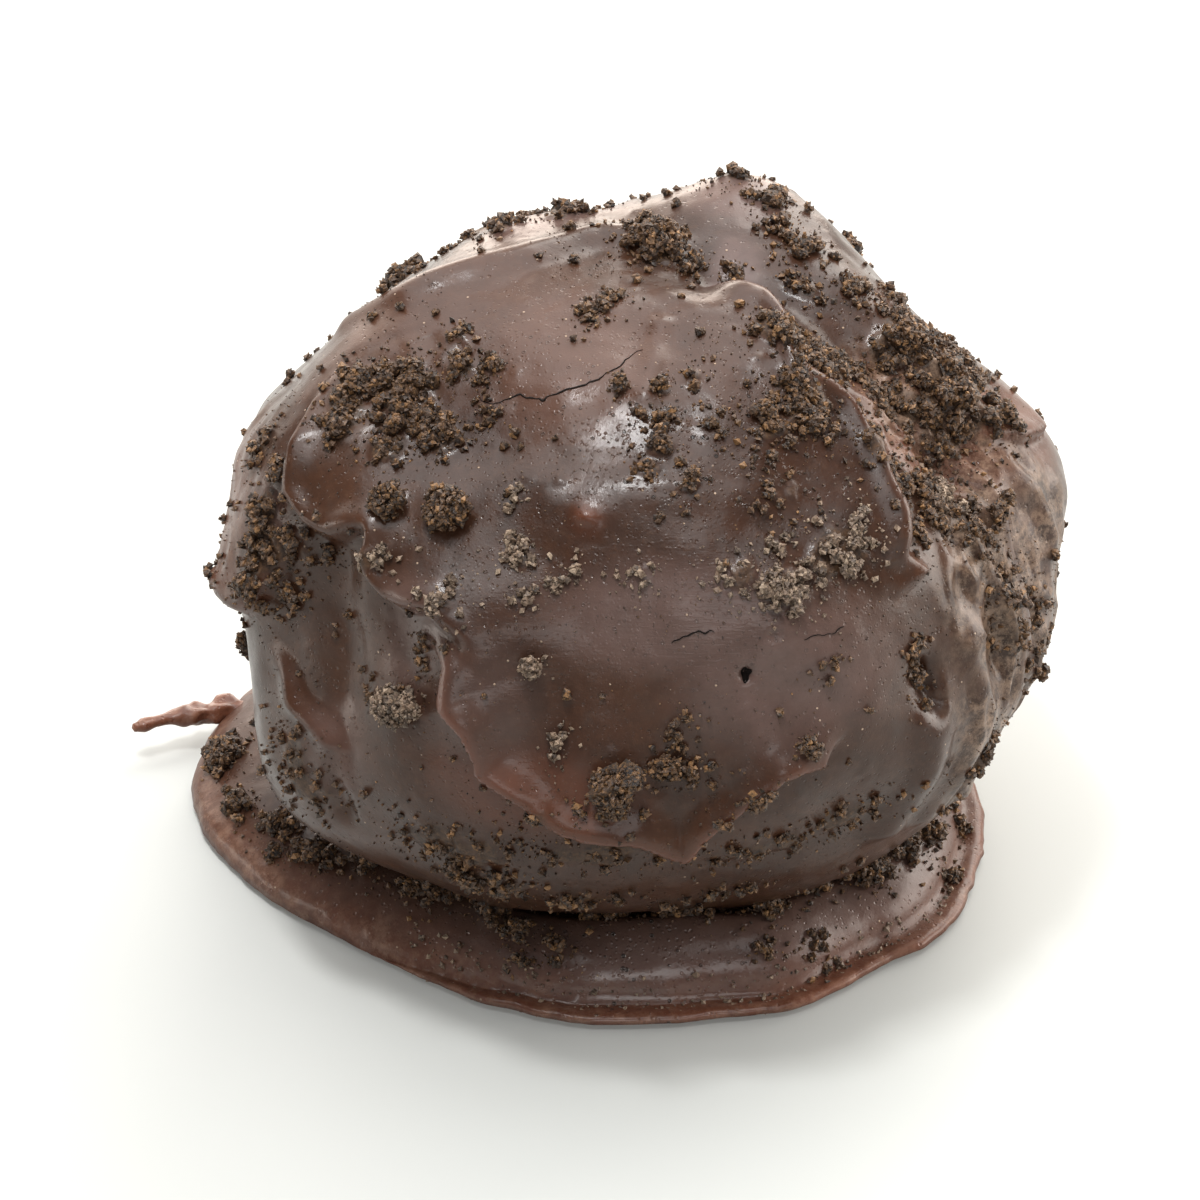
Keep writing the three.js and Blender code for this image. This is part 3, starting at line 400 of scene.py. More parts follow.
# Clouds in the coating: name, patches to the millimetre, detail, roughness.
COATING_CLOUDS = (
    ("broad", 0.16, 3.0, 0.5),
    ("mottle", 0.9, 6.0, 0.65),
    ("stain", 0.45, 4.0, 0.6),
    ("fine", 6.5, 4.0, 0.6),
    ("grainy", 2.6, 5.0, 0.8),
    ("crumb", 4.0, 6.0, 0.8),
    ("dusted", 1.6, 6.0, 0.8),
)
# Discs in the coating: name, cells to the millimetre, where a disc starts to fade and where it ends in cell
# widths, colour channel that chooses the cells, and the least value that is chosen.
COATING_DISCS = (
    ("speck", 1.7, 0.06, 0.10, 0, 0.70),
    ("pit", 2.6, 0.10, 0.22, 1, 0.45),
    ("small_pit", 4.4, 0.12, 0.26, 2, 0.40),
    ("bubble", 4.2, 0.16, 0.34, 0, 0.35),
    # the rings of burst bubbles; their discs are also painted near black as shade in the pits
    ("ring", 2.3, 0.20, 0.24, 2, 0.55),
    ("hole", 2.3, 0.10, 0.15, 2, 0.55),
)
DISC_CHOICE = 0.03
COATING_ATTRIBUTES = ("bloom_and_top_light", "painted_sheen", "thin", "bubbles", "rough", "caked", "matt", "brushed", "glaze")

# ---------------------------------------------------------------- stage

CAMERA_ELEVATION = math.radians(32)
CAMERA_DISTANCE = 330.0
CAMERA_AIM = np.array([0.641, 5.095, 8.154])
VIEW_WIDTH = 51.28
SENSOR_WIDTH = 36.0
CLIPPING = (0.01, 20.0)           # in metres
TOWARDS_CAMERA = np.array([0.0, -math.cos(CAMERA_ELEVATION), math.sin(CAMERA_ELEVATION)])
BALL_SQUEEZE = 0.62               # how closely the ball's grid is drawn together on the front

FLOOR_SIZE = 4000.0
FLOOR_GLOW = 0.1
WORLD_RADIANCE = 0.18
# Soft boxes: name, azimuth from the front, elevation, distance, width, height, radiance, colour.
SOFT_BOXES = (
    ("overhead_box", -170, 68, 420, 420, 400, 2.7, "#ffffff"),
    ("key_box", -55, 80, 420, 84, 50, 76.0, "#ffffff"),
    ("front_box", 10, 24, 420, 240, 110, 3.2, "#ffffff"),
    ("upper_front_box", -2, 68, 420, 380, 160, 3.4, "#ffffff"),
    ("right_box", 104, 8, 420, 420, 300, 6.4, "#fff8f0"),
    ("left_box", -96, 2, 420, 260, 120, 5.2, "#fff6ec"),
    ("back_right_box", 150, 34, 440, 360, 300, 6.0, "#fffaf2"),
    ("back_left_box", -150, 20, 440, 300, 260, 2.6, "#fff0e4"),
    ("back_box", 180, 6, 460, 340, 140, 6.0, "#fff0e2"),
)


# ---------------------------------------------------------------- small mathematics on whole arrays

def direction(longitude, latitude):
    """Unit vectors from longitudes and latitudes in degrees."""
    lon, lat = np.radians(longitude), np.radians(latitude)
    return np.stack([np.sin(lon) * np.cos(lat), -np.cos(lon) * np.cos(lat), np.sin(lat)], -1)


def directions(line):
    """Unit vectors for a line of longitudes and latitudes."""
    return direction(*np.array(line, float).T)


def angles_of(u):
    """Longitude and latitude in degrees of unit vectors."""
    return np.degrees(np.arctan2(u[..., 0], -u[..., 1])), np.degrees(np.arcsin(np.clip(u[..., 2], -1, 1)))


def unit(v):
    """Vectors scaled to length 1."""
    return v / np.linalg.norm(v, axis=-1, keepdims=True)


def smooth(t):
    """0 to 1 with level ends: 3 t squared less 2 t cubed, t held between 0 and 1."""
    t = np.clip(t, 0, 1)
    return t * t * (3 - 2 * t)


def smooth_min(a, b, width):
    """The lesser of two values, with the corner between them rounded off over a width."""
    h = np.maximum(width - np.abs(a - b), 0) / width
    return np.minimum(a, b) - h * h * width / 4


def bell(distance, width):
    """1 at distance 0, falling off as e to the power of minus the square of distance over width."""
    return np.exp(-(distance / width) ** 2)


def bell_round(longitude, middle, reach):
    """A bell over longitude, which closes on itself behind the middle."""
    return bell((longitude + 180 - middle) % 360 - 180, reach)


def wave(p, frequency, phase):
    """A slow wave over space: sines whose arguments are themselves bent by sines."""
    x, y, z = np.moveaxis(p * frequency, -1, 0)
    bent_x = np.sin(x + 1.9 * np.sin(0.8 * y + phase))
    bent_y = np.sin(y + 1.7 * np.sin(0.9 * z + 2 * phase))
    bent_z = np.sin(z + 1.8 * np.sin(0.85 * x + 3 * phase))
    return (bent_x * bent_y + bent_z) / 2


def lattice_value(cell, seed):
    """A number from -1 to 1 for each whole-number cell, by mixing the bits of its three coordinates."""
    x, y, z = np.moveaxis(cell, -1, 0)
    h = (x * 73856093) ^ (y * 19349663) ^ (z * 83492791) ^ (seed * 2654435761)
    h = h & 0xFFFFFFFF
    h = ((h ^ (h >> 15)) * 2246822519) & 0xFFFFFFFF
    h = ((h ^ (h >> 13)) * 3266489917) & 0xFFFFFFFF
    return ((h ^ (h >> 16)) & 0xFFFF) / 32767.5 - 1


def noise(p, size, seed):
    """Smooth noise from about -1 to 1 with bumps of one size: lattice values blended over each cell."""
    q = p / size + 0.37 * seed
    cell = np.floor(q).astype(np.int64)
    t = smooth(q - cell)
    total = np.zeros(p.shape[:-1])
    for corner in np.ndindex(2, 2, 2):
        share = np.prod(np.where(np.array(corner) == 1, t, 1 - t), -1)
        total += share * lattice_value(cell + np.array(corner), seed)
    return total


def layered_noise(p, layers):
    """Sum of layers of noise, each with its size of bumps, height and seed."""
    return sum(height * noise(p, size, seed) for size, height, seed in layers)


def line_distance(p, line):
    """Distance of points to a run of straight pieces, in two or three dimensions."""
    nearest = np.full(p.shape[:-1], np.inf)
    for a, b in zip(line[:-1], line[1:]):
        along = b - a
        t = np.clip(((p - a) @ along) / (along @ along), 0, 1)
        nearest = np.minimum(nearest, np.linalg.norm(p - (a + t[..., None] * along), axis=-1))
    return nearest


def is_inside(p, outline):
    """Whether flat points lie inside a closed outline, by counting crossings to one side."""
    inside = np.zeros(p.shape[:-1], bool)
    for (x1, y1), (x2, y2) in zip(outline, np.roll(outline, -1, 0)):
        if y1 != y2:
            crosses = (p[..., 1] > min(y1, y2)) & (p[..., 1] <= max(y1, y2))
            inside ^= crosses & (p[..., 0] < x1 + (p[..., 1] - y1) * (x2 - x1) / (y2 - y1))
    return inside


def flat_map(longitude, latitude):
    """Longitude and latitude laid out flat in millimetres, with true widths along every latitude."""
    lat = np.radians(latitude)
    return np.stack([SURFACE_RADIUS * np.radians(longitude) * np.cos(lat), SURFACE_RADIUS * lat], -1)


# ---------------------------------------------------------------- the ball's surface

def coat_depths(place, coat):
    """Distance inside a coat's edge (negative outside it), and distance to its back."""
    edge = flat_map(*np.array(coat[0], float).T)
    back = flat_map(*np.array(coat[1], float).T)
    distance = line_distance(place, edge)
    depth = np.where(is_inside(place, np.vstack([edge, back])), distance, -distance)
    return depth, line_distance(place, np.vstack([edge[-1:], back, edge[:1]]))


def coat_height(depth, seam, thickness, reach, softness):
    """Height that a coat adds: a step at its edge with a thicker rim, thinning out towards its back."""
    step = smooth(depth / softness + 0.5)
    thinning = np.clip(1 - depth / reach, 0, 1) ** 2
    rim = 1 + COAT_RIM * bell(depth - COAT_RIM_WIDTH, COAT_RIM_WIDTH)
    return thickness * step * thinning * rim * smooth(seam / COAT_BACK_FADE)


def rough_share(longitude, latitude):
    """How rough the coat is at a place, in millimetres of relief: the strongest of the rough areas there."""
    share = np.zeros(longitude.shape)
    for lon, lat, half_width, half_height, height in ROUGH_AREAS:
        away = np.hypot((longitude - lon) / half_width, (latitude - lat) / half_height)
        share = np.maximum(share, height * smooth(ROUGH_FADE[0] - ROUGH_FADE[1] * away))
    return share


def ball_surface(u):
    """Distance of the surface from the ball's middle along unit vectors, and its thin edges and roughness.

    An ellipsoid is cut by flats, swells and sinks in bell-shaped lumps and along folds, and carries the
    second coats, slow waves, and the finer grain, pits and faults.
    """
    radius = 1 / np.linalg.norm(u / BALL_SEMI_AXES, axis=-1)
    for longitude, latitude, depth in FLATS:
        normal = direction(longitude, latitude)
        reach = np.linalg.norm(BALL_SEMI_AXES * normal) - depth
        radius = smooth_min(radius, reach / np.maximum(u @ normal, STEEPEST_TO_FLAT), FLAT_BLEND)
    for longitude, latitude, width, height in LUMPS + FAULTS:
        chord_squared = (2 - 2 * (u @ direction(longitude, latitude))) * SURFACE_RADIUS ** 2
        radius += height * np.exp(-chord_squared / (2 * width * width))
    point = u * SURFACE_RADIUS
    for line, width, height in FOLDS:
        distance = line_distance(point, directions(line) * SURFACE_RADIUS)
        radius += height * np.exp(-distance ** 2 / (2 * width * width))
    longitude, latitude = angles_of(u)
    place = flat_map(longitude, latitude)
    for frequency, shift, phase_x, phase_y in EDGE_WAVES:
        place[..., 0] += shift * wave(point, frequency, phase_x)
        place[..., 1] += shift * wave(point, frequency, phase_y)
    thin = np.zeros(radius.shape)
    for coat in COATS:
        depth, seam = coat_depths(place, coat)
        radius += coat_height(depth, seam, *coat[2:5])
        line = bell(depth - THIN_EDGE_WIDTH / 2, THIN_EDGE_WIDTH)
        thin = np.maximum(thin, coat[5] * line * smooth(seam / COAT_BACK_FADE))
    for i, (frequency, height) in enumerate(WAVES):
        radius += height * wave(point, frequency, FIRST_PHASE + i)
    radius += layered_noise(point, GRAIN)
    rough = rough_share(longitude, latitude)
    streaked = point * np.array([1, 1, ROUGH_STRETCH])
    pits = sum(share * np.abs(noise(streaked, size, seed)) for size, share, seed in PITS)
    radius += rough * (CREST_HEIGHT - PIT_DEPTH * np.clip(pits, 0, 1))
    return radius, thin, rough


def ball_points(u, above=0.0):
    """Points on the ball along unit vectors, raised by a height over the surface."""
    radius = ball_surface(u)[0] + above
    return BALL_CENTRE + u * radius[..., None]


def area_share(u, areas):
    """How strongly a finish shows at a place, 0 to 1: the strongest of its areas there."""
    longitude, latitude = angles_of(u)
    share = np.zeros(len(u))
    for lon, lat, half_width, half_height, strength in areas:
        across = (longitude - lon) * np.cos(np.radians(latitude)) / half_width
        away = np.hypot(across, (latitude - lat) / half_height)
        share = np.maximum(share, strength * smooth(AREA_FADE - away))
    return share


def patch_frame(longitude, latitude, turn):
    """The outward direction at a place on the ball and the two directions along and across a patch there."""
    normal = direction(longitude, latitude)
    east = direction(longitude + 90, 0)
    north = np.cross(normal, east)
    cos, sin = math.cos(math.radians(turn)), math.sin(math.radians(turn))
    return normal, east * cos + north * sin, north * cos - east * sin


def patch_directions(axes, along, across):
    """Unit vectors to places on a patch, from millimetres along and across it."""
    normal, first, second = axes
    return unit(normal + (along[:, None] * first + across[:, None] * second) / SURFACE_RADIUS)


def crumbed_share(u):
    """How thickly crumbs are caked onto the coat at a place, 0 to 1: the most of all patches there."""
    share = np.zeros(len(u))
    for longitude, latitude, half_length, half_width, turn, count, largest, *_ in BALL_CRUMBS + FINE_CRUMBS:
        normal, first, second = patch_frame(longitude, latitude, turn)
        away = u - normal
        reach = np.hypot(away @ first / half_length, away @ second / half_width) * SURFACE_RADIUS
        fullness = min(1, CAKE_FROM_CRUMB * largest + count / CAKE_FROM_COUNT)
        share = np.maximum(share, smooth(CAKE_FADE - reach) * (u @ normal > 0) * fullness)
    return share


def caked_share(u):
    """The crumbed share with its edge broken up by noise and drawn sharper."""
    share = crumbed_share(u) + layered_noise(u * SURFACE_RADIUS, CAKE_EDGES)
    return smooth(CAKE_CONTRAST * share - CAKE_THRESHOLD)


def squeezed_cube(divisions, towards, squeeze):
    """Unit vectors and four-sided faces of a cube's grid blown up to a sphere, packed closer on one side.

    Each cube face has equal angles between its grid lines. The sphere is then drawn together towards one
    direction: the tangent of half the angle from it is multiplied by the squeeze, which keeps it even.
    """
    steps = np.arange(divisions + 1)
    i, j = np.meshgrid(steps, steps, indexing="ij")
    corners = []
    for axis in range(3):
        for side in (0, divisions):
            grid = np.empty(i.shape + (3,), int)
            grid[..., axis] = side
            first, second = (i, j) if side else (j, i)
            grid[..., (axis + 1) % 3] = first
            grid[..., (axis + 2) % 3] = second
            corners.append(np.stack([grid[:-1, :-1], grid[1:, :-1], grid[1:, 1:], grid[:-1, 1:]], -2))
    corners = np.concatenate([c.reshape(-1, 4, 3) for c in corners])
    lattice, index = np.unique(corners.reshape(-1, 3), axis=0, return_inverse=True)
    u = unit(np.tan((lattice / divisions - 0.5) * math.pi / 2))
    pole = unit(towards)
    along = np.clip(u @ pole, -1, 1)
    across = u - along[:, None] * pole
    across /= np.maximum(np.linalg.norm(across, axis=-1, keepdims=True), 1e-9)
    half_angle = np.arccos(along) / 2
    angle = 2 * np.arctan2(squeeze * np.sin(half_angle), np.cos(half_angle))
    return unit(np.cos(angle)[:, None] * pole + np.sin(angle)[:, None] * across), index.reshape(-1, 4)


def crack(line, width):
    """Points and triangles of a crack: a dark strip of painted shade along a straying line, closed by a keel
    sunk into the coat.

    Its width is tapered by the root of a half sine, and it has three sides and two end triangles.
    """
    corners = directions(line) * SURFACE_RADIUS
    lengths = np.concatenate([[0], np.cumsum(np.linalg.norm(np.diff(corners, axis=0), axis=-1))])
    along = np.linspace(0, lengths[-1], int(lengths[-1] / CRACK_STEP) + 2)
    middle = np.stack([np.interp(along, lengths, corners[:, axis]) for axis in range(3)], -1)
    side = unit(np.cross(middle, np.gradient(middle, axis=0)))
    middle = middle + CRACK_WANDER * layered_noise(middle, CRACK_STRAYS)[:, None] * side
    count = len(along)
    taper = np.sin(math.pi * np.linspace(CRACK_ENDS, 1 - CRACK_ENDS, count)) ** 0.5
    half = width / 2 * taper * (CRACK_FULLNESS + layered_noise(middle, (CRACK_WIDTHS,)))
    points = [ball_points(unit(middle + edge * half[:, None] * side), lift)
              for edge, lift in ((-1, CRACK_LIFT), (1, CRACK_LIFT), (0, -CRACK_KEEL))]
    i = np.arange(count - 1)
    faces = []
    for near, far in ((0, 1), (1, 2), (2, 0)):
        a, b = i + near * count, i + far * count
        faces += [np.stack([a, a + 1, b + 1], -1), np.stack([a, b + 1, b], -1)]
    ends = count * np.arange(3)
    return np.vstack(points), np.vstack(faces + [ends[None], ends[None, ::-1] + count - 1])


def pinhole():
    """Points and triangles of the pinhole: a dark lens of painted shade with an uneven rim, its middle sunk
    into the coat.
    """
    longitude, latitude, half_width, half_height = PINHOLE
    turn = np.arange(PINHOLE_SIDES)
    angle = 2 * math.pi * turn / PINHOLE_SIDES
    reach = 1 + sum(share * np.sin(waves * angle + start) for waves, start, share in PINHOLE_WAVES)
    axes = patch_frame(longitude, latitude, 0)
    rim = patch_directions(axes, half_width * reach * np.cos(angle), half_height * reach * np.sin(angle))
    hub = axes[0][None]
    points = [ball_points(rim, CRACK_LIFT), ball_points(hub, CRACK_LIFT), ball_points(hub, -PINHOLE_DEPTH)]
    after = (turn + 1) % PINHOLE_SIDES
    top, bottom = np.full(PINHOLE_SIDES, PINHOLE_SIDES), np.full(PINHOLE_SIDES, PINHOLE_SIDES + 1)
    faces = np.vstack([np.stack([turn, after, top], -1), np.stack([after, turn, bottom], -1)])
    return np.vstack(points), faces


# ---------------------------------------------------------------- surfaces of rings: the foot and the spike

def ring_faces(rings, columns):
    """Faces of a closed surface of rings, with a point before the first ring and one after the last."""
    column = np.arange(columns)
    after = (column + 1) % columns
    row = np.arange(rings - 1)[:, None] * columns + 1
    quads = np.stack([row + column, row + after, row + columns + after, row + columns + column], -1)
    last = 1 + (rings - 1) * columns
    end = 1 + rings * columns
    first_cap = np.stack([np.zeros(columns, int), 1 + after, 1 + column], -1)
    last_cap = np.stack([last + column, last + after, np.full(columns, end)], -1)
    return [quads.reshape(-1, 4), first_cap, last_cap]


def foot_radius(longitude):
    """Radius of the foot's rim: the outline's radii, each weighted by how near its longitude is."""
    places, radii = np.array(FOOT_OUTLINE).T
    weights = np.exp((np.cos(np.radians(longitude[..., None] - places)) - 1) / FOOT_OUTLINE_BLEND)
    return (weights * radii).sum(-1) / weights.sum(-1)


def foot_height(longitude, inset):
    """Height of the foot at a distance in from its rim: a thin skirt, a rolled lip, and a groove."""
    turn = np.cos(np.radians(longitude - SKIRT_WIDEST_AT))
    skirt = SKIRT_WIDTH + SKIRT_SWING * turn
    step = SKIRT_HEIGHT * smooth((turn - SKIRT_ENDS[0]) / (SKIRT_ENDS[1] - SKIRT_ENDS[0]))
    skirt_height = step * np.clip(inset / skirt, 0, 1) ** SKIRT_ROUNDNESS
    start = LIP_START * skirt * step / SKIRT_HEIGHT
    t = np.clip((inset - start) / (LIP_WIDTH - start), 0, 1)
    lip = (1 - (1 - t) ** LIP_FULLNESS) ** LIP_ROUNDNESS
    full = FOOT_HEIGHT + sum(FOOT_HEIGHT * share * np.sin(np.radians(turns * longitude + start_angle))
                             for turns, start_angle, share in FOOT_WAVES)
    groove = GROOVE_DEPTH * smooth((inset - LIP_WIDTH) / GROOVE_WIDTH)
    return skirt_height + (full - step) * lip - groove


def foot_points(longitude, inset, height):
    """Points of the foot from longitude, distance in from the rim, and height."""
    radius = foot_radius(longitude) - inset
    lon = np.radians(longitude)
    return np.stack([radius * np.sin(lon), -radius * np.cos(lon), height], -1)


def foot_grid(longitude):
    """Rows of points up over the foot's rim and in under the ball, and each row's inset.

    Noise roughens the top, and moves the rim in and out.
    """
    under_insets, under_heights = np.array(UNDER_ROWS).T
    top_insets = FOOT_WIDTH * np.linspace(0, 1, TOP_ROWS) ** TOP_ROW_SPREAD
    inset = np.concatenate([under_insets, top_insets, [HIDDEN_INSET]])[:, None]
    under = len(under_insets)
    height = foot_height(longitude, inset) + RIM_LIFT * (1 - smooth(inset / RIM_UNDERCUT))
    height[:under] = under_heights[:, None]
    points = foot_points(longitude, inset, height)
    grain = layered_noise(points[under:], FOOT_GRAIN)
    points[under:, :, 2] += grain * np.minimum(1, inset[under:] / FOOT_GRAIN_FROM)
    stray = layered_noise(points, RIM_STRAYS) * np.exp(-inset / RIM_DEPTH)
    points[..., :2] *= (1 + stray / np.linalg.norm(points[..., :2], axis=-1))[..., None]
    return points, inset


def spike_grid():
    """Rings of points along the arched spike, with the half width of its sections, knobbed by noise."""
    share = np.linspace(0, SPIKE_LAST_ROW, SPIKE_ROWS)
    half = SPIKE_THICKNESS / 2 * np.interp(share, *np.array(SPIKE_SECTIONS).T)
    along = SPIKE_TIP - SPIKE_ROOT
    side = np.array([-along[1], along[0], 0]) / math.hypot(along[0], along[1])
    rise = np.array([0, 0, SPIKE_FLATNESS])
    middle = SPIKE_ROOT + share[:, None] * along
    middle[:, 2] += SPIKE_ARCH * np.sin(math.pi * share)
    angle = 2 * math.pi * np.arange(SPIKE_SIDES) / SPIKE_SIDES
    way = np.cos(angle)[:, None] * side + np.sin(angle)[:, None] * rise
    points = middle[:, None] + half[:, None, None] * way
    return points + (points - middle[:, None]) * layered_noise(points, (SPIKE_KNOBS,))[..., None]


# ---------------------------------------------------------------- grains and crumbs

def icosahedron():
    """Corners and faces of a regular twenty-faced solid of radius 1."""
    g = (1 + math.sqrt(5)) / 2
    corners = np.array([(-1, g, 0), (1, g, 0), (-1, -g, 0), (1, -g, 0), (0, -1, g), (0, 1, g), (0, -1, -g),
                        (0, 1, -g), (g, 0, -1), (g, 0, 1), (-g, 0, -1), (-g, 0, 1)], float)
    faces = np.array([(0, 11, 5), (0, 5, 1), (0, 1, 7), (0, 7, 10), (0, 10, 11), (1, 5, 9), (5, 11, 4),
                      (11, 10, 2), (10, 7, 6), (7, 1, 8), (3, 9, 4), (3, 4, 2), (3, 2, 6), (3, 6, 8),
                      (3, 8, 9), (4, 9, 5), (2, 4, 11), (6, 2, 10), (8, 6, 7), (9, 8, 1)])
    return corners / np.linalg.norm(corners[0]), faces


def octahedron():
    """Corners and faces of a regular eight-faced solid of radius 1, for the finest grains."""
    corners = np.vstack([np.eye(3), -np.eye(3)])
    faces = [(0, 1, 2), (1, 3, 2), (3, 4, 2), (4, 0, 2), (1, 0, 5), (3, 1, 5), (4, 3, 5), (0, 4, 5)]
    return corners, np.array(faces)


def turn_matrices(count, rng):
    """Random rotations, from random unit quaternions."""
    w, x, y, z = unit(rng.normal(size=(count, 4))).T
    rows = [1 - 2 * (y * y + z * z), 2 * (x * y - z * w), 2 * (x * z + y * w),
            2 * (x * y + z * w), 1 - 2 * (x * x + z * z), 2 * (y * z - x * w),
            2 * (x * z - y * w), 2 * (y * z + x * w), 1 - 2 * (x * x + y * y)]
    return np.stack(rows, -1).reshape(-1, 3, 3)


def grain_mesh(grains, solid, rng, tone_range):
    """Uneven grains as one mesh: a small solid, its corners pulled in and out, stretched and turned.

    Takes pairs of middles and sizes. Returns points, triangles and one tone in a range for each grain.
    """
    middles, sizes = (np.concatenate(part) for part in zip(*grains))
    corners, faces = solid
    count = len(middles)
    reach = 1 + GRAIN_UNEVENNESS * (rng.random((count, len(corners))) - 0.5)
    shape = corners[None] * reach[..., None] * (1 + GRAIN_STRETCH * (rng.random((count, 1, 3)) * 2 - 1))
    turned = shape @ turn_matrices(count, rng)
    points = middles[:, None] + turned * (sizes / 2)[:, None, None]
    triangles = faces[None] + (np.arange(count) * len(corners))[:, None, None]
    tones = np.repeat(rng.uniform(*tone_range, count), len(corners))
    return points.reshape(-1, 3), triangles.reshape(-1, 3), tones


def spiral(half_length, half_width, count, largest):
    """Places of a patch's crumbs on a sunflower spiral, with their sizes, the largest in the middle."""
    i = np.arange(count)
    reach = np.sqrt(i / count)
    along = half_length * reach * np.cos(i * GOLDEN_ANGLE)
    across = half_width * reach * np.sin(i * GOLDEN_ANGLE)
    return along, across, largest * (1 - CRUMB_SIZE_FALL * i / count)


def unit_vectors(count, rng):
    """Random directions, evenly spread."""
    return unit(rng.normal(size=(count, 3)))


def outward_vectors(outward, rng):
    """One random direction for each outward direction, turned round where it would point into the coat."""
    way = unit_vectors(len(outward), rng)
    along = (way * outward).sum(-1, keepdims=True)
    return np.where(along < LOWEST_GRAIN, way - 2 * along * outward, way)


class CrumbPile:
    """Collects the cores, the chips and the fine grains of one kind of crumb."""

    def __init__(self):
        self.parts = {"cores": [], "chips": [], "grains": []}

    def add_crumbs(self, middles, outward, sizes, rng):
        """A few lobes leaning together for each crumb, each a core covered in chips and fine grains."""
        number = 1 + (sizes / LOBE_SIZE).astype(int)
        crumb = np.repeat(np.arange(len(sizes)), number)
        share = np.where(number[crumb] > 1, rng.uniform(*LOBE_SHARES, len(crumb)), 1)
        lobe_sizes = sizes[crumb] * share
        away = outward_vectors(outward[crumb], rng)
        away -= (1 - LOBE_FLATNESS) * (away * outward[crumb]).sum(-1, keepdims=True) * outward[crumb]
        stray = (sizes[crumb] - lobe_sizes) / 2 * rng.uniform(*LOBE_STRAY, len(crumb))
        lobes = middles[crumb] + away * stray[:, None]
        self.parts["cores"].append((lobes, CORE_SHARE * lobe_sizes))
        for layer, limits in (("chips", CHIP_SIZES), ("grains", FINE_SIZES)):
            on = np.repeat(np.arange(len(lobes)), (FEWEST_GRAINS + GRAIN_COVER * lobe_sizes ** 2).astype(int))
            stand = lobe_sizes[on] / 2 * rng.uniform(*GRAIN_STAND, len(on))
            way = outward_vectors(outward[crumb][on], rng)
            places = lobes[on] + way * stand[:, None]
            depths = np.linalg.norm(places[:, None] - lobes[None], axis=-1) / (lobe_sizes / 2)
            depths[np.arange(len(on)), on] = np.inf
            shows = depths.min(-1) > BURIED_GRAIN
            self.parts[layer].append((places[shows], rng.uniform(*limits, len(on))[shows]))


def patch_places(patch, rng):
    """Directions and sizes of a ball patch's crumbs: its spiral, with small crumbs strayed a little."""
    longitude, latitude, half_length, half_width, turn, count, largest = patch[:7]
    along, across, sizes = spiral(half_length, half_width, count, largest)
    if largest < SMALLEST_FUSED_CRUMB:
        along = along + half_length * PATCH_JITTER * rng.normal(size=count)
        across = across + half_width * PATCH_JITTER * rng.normal(size=count)
    return patch_directions(patch_frame(longitude, latitude, turn), along, across), sizes


def loose_places(patch, count, rng):
    """Directions of grains strewn over a ball patch, thinning out past its rim."""
    longitude, latitude, half_length, half_width, turn = patch[:5]
    angle = rng.uniform(0, 2 * math.pi, count)
    reach = np.sqrt(rng.random(count)) * (1 + LOOSE_SPREAD * np.abs(rng.normal(size=count)))
    along = (half_length + LOOSE_MARGIN) * reach * np.cos(angle)
    across = (half_width + LOOSE_MARGIN) * reach * np.sin(angle)
    return patch_directions(patch_frame(longitude, latitude, turn), along, across)


def add_ball_patches(piles, amount, rng):
    """The crumbs of each patch on the ball, and loose grains round them."""
    for patch in BALL_CRUMBS + FINE_CRUMBS:
        pile = piles[patch[7] if len(patch) > 7 else DARK]
        u, sizes = patch_places(patch, rng)
        pile.add_crumbs(ball_points(u, CRUMB_LIFT * sizes), u, sizes, rng)
        area = math.pi * patch[2] * patch[3]
        for layer, least, to_area, limits in LOOSE_ON_BALL:
            count = int(amount * (least + to_area * area))
            sizes = rng.uniform(*limits, count)
            places = ball_points(loose_places(patch, count, rng), CRUMB_LIFT * sizes)
            pile.parts[layer].append((places, sizes))


def on_foot(longitude, inset, sizes):
    """Middles of crumbs that lie on the foot, lifted by a share of their sizes."""
    return foot_points(longitude, inset, foot_height(longitude, inset) + CRUMB_LIFT * sizes)


def add_foot_patches(pile, amount, rng):
    """The crumbs of each patch on the foot, and loose grains round them."""
    for longitude, inset, half_length, half_width, count, largest in FOOT_CRUMBS:
        along, across, sizes = spiral(half_length, half_width, count, largest)
        degree = math.pi * float(foot_radius(np.array(float(longitude)))) / 180
        upward = np.tile([0.0, 0.0, 1.0], (count, 1))
        pile.add_crumbs(on_foot(longitude + along / degree, inset + across, sizes), upward, sizes, rng)
        area = math.pi * half_length * half_width
        margins = FOOT_LOOSE_SPREAD * (np.array([half_length, half_width]) + FOOT_LOOSE_MARGINS)
        for layer, least, to_area, limits in LOOSE_ON_FOOT:
            strewn = int(amount * (least + to_area * area))
            place = longitude + margins[0] * rng.normal(size=strewn) / degree
            inset_at = inset + margins[1] * rng.normal(size=strewn)
            inset_at = np.clip(inset_at, FOOT_LOOSE_FROM, FOOT_WIDTH)
            sizes = rng.uniform(*limits, strewn)
            pile.parts[layer].append((on_foot(place, inset_at, sizes), sizes))


def add_skirt_grains(pile, amount, rng):
    """Golden grains all along the skirt."""
    count = int(amount * SKIRT_GRAINS)
    place = rng.uniform(*SKIRT_GRAINS_ROUND, count)
    inset = rng.uniform(*SKIRT_GRAINS_INSETS, count)
    sizes = rng.uniform(*CHIP_SIZES, count) * rng.uniform(*SKIRT_GRAINS_SHRINK, count)
    pile.parts["chips"].append((on_foot(place, inset, sizes), sizes))


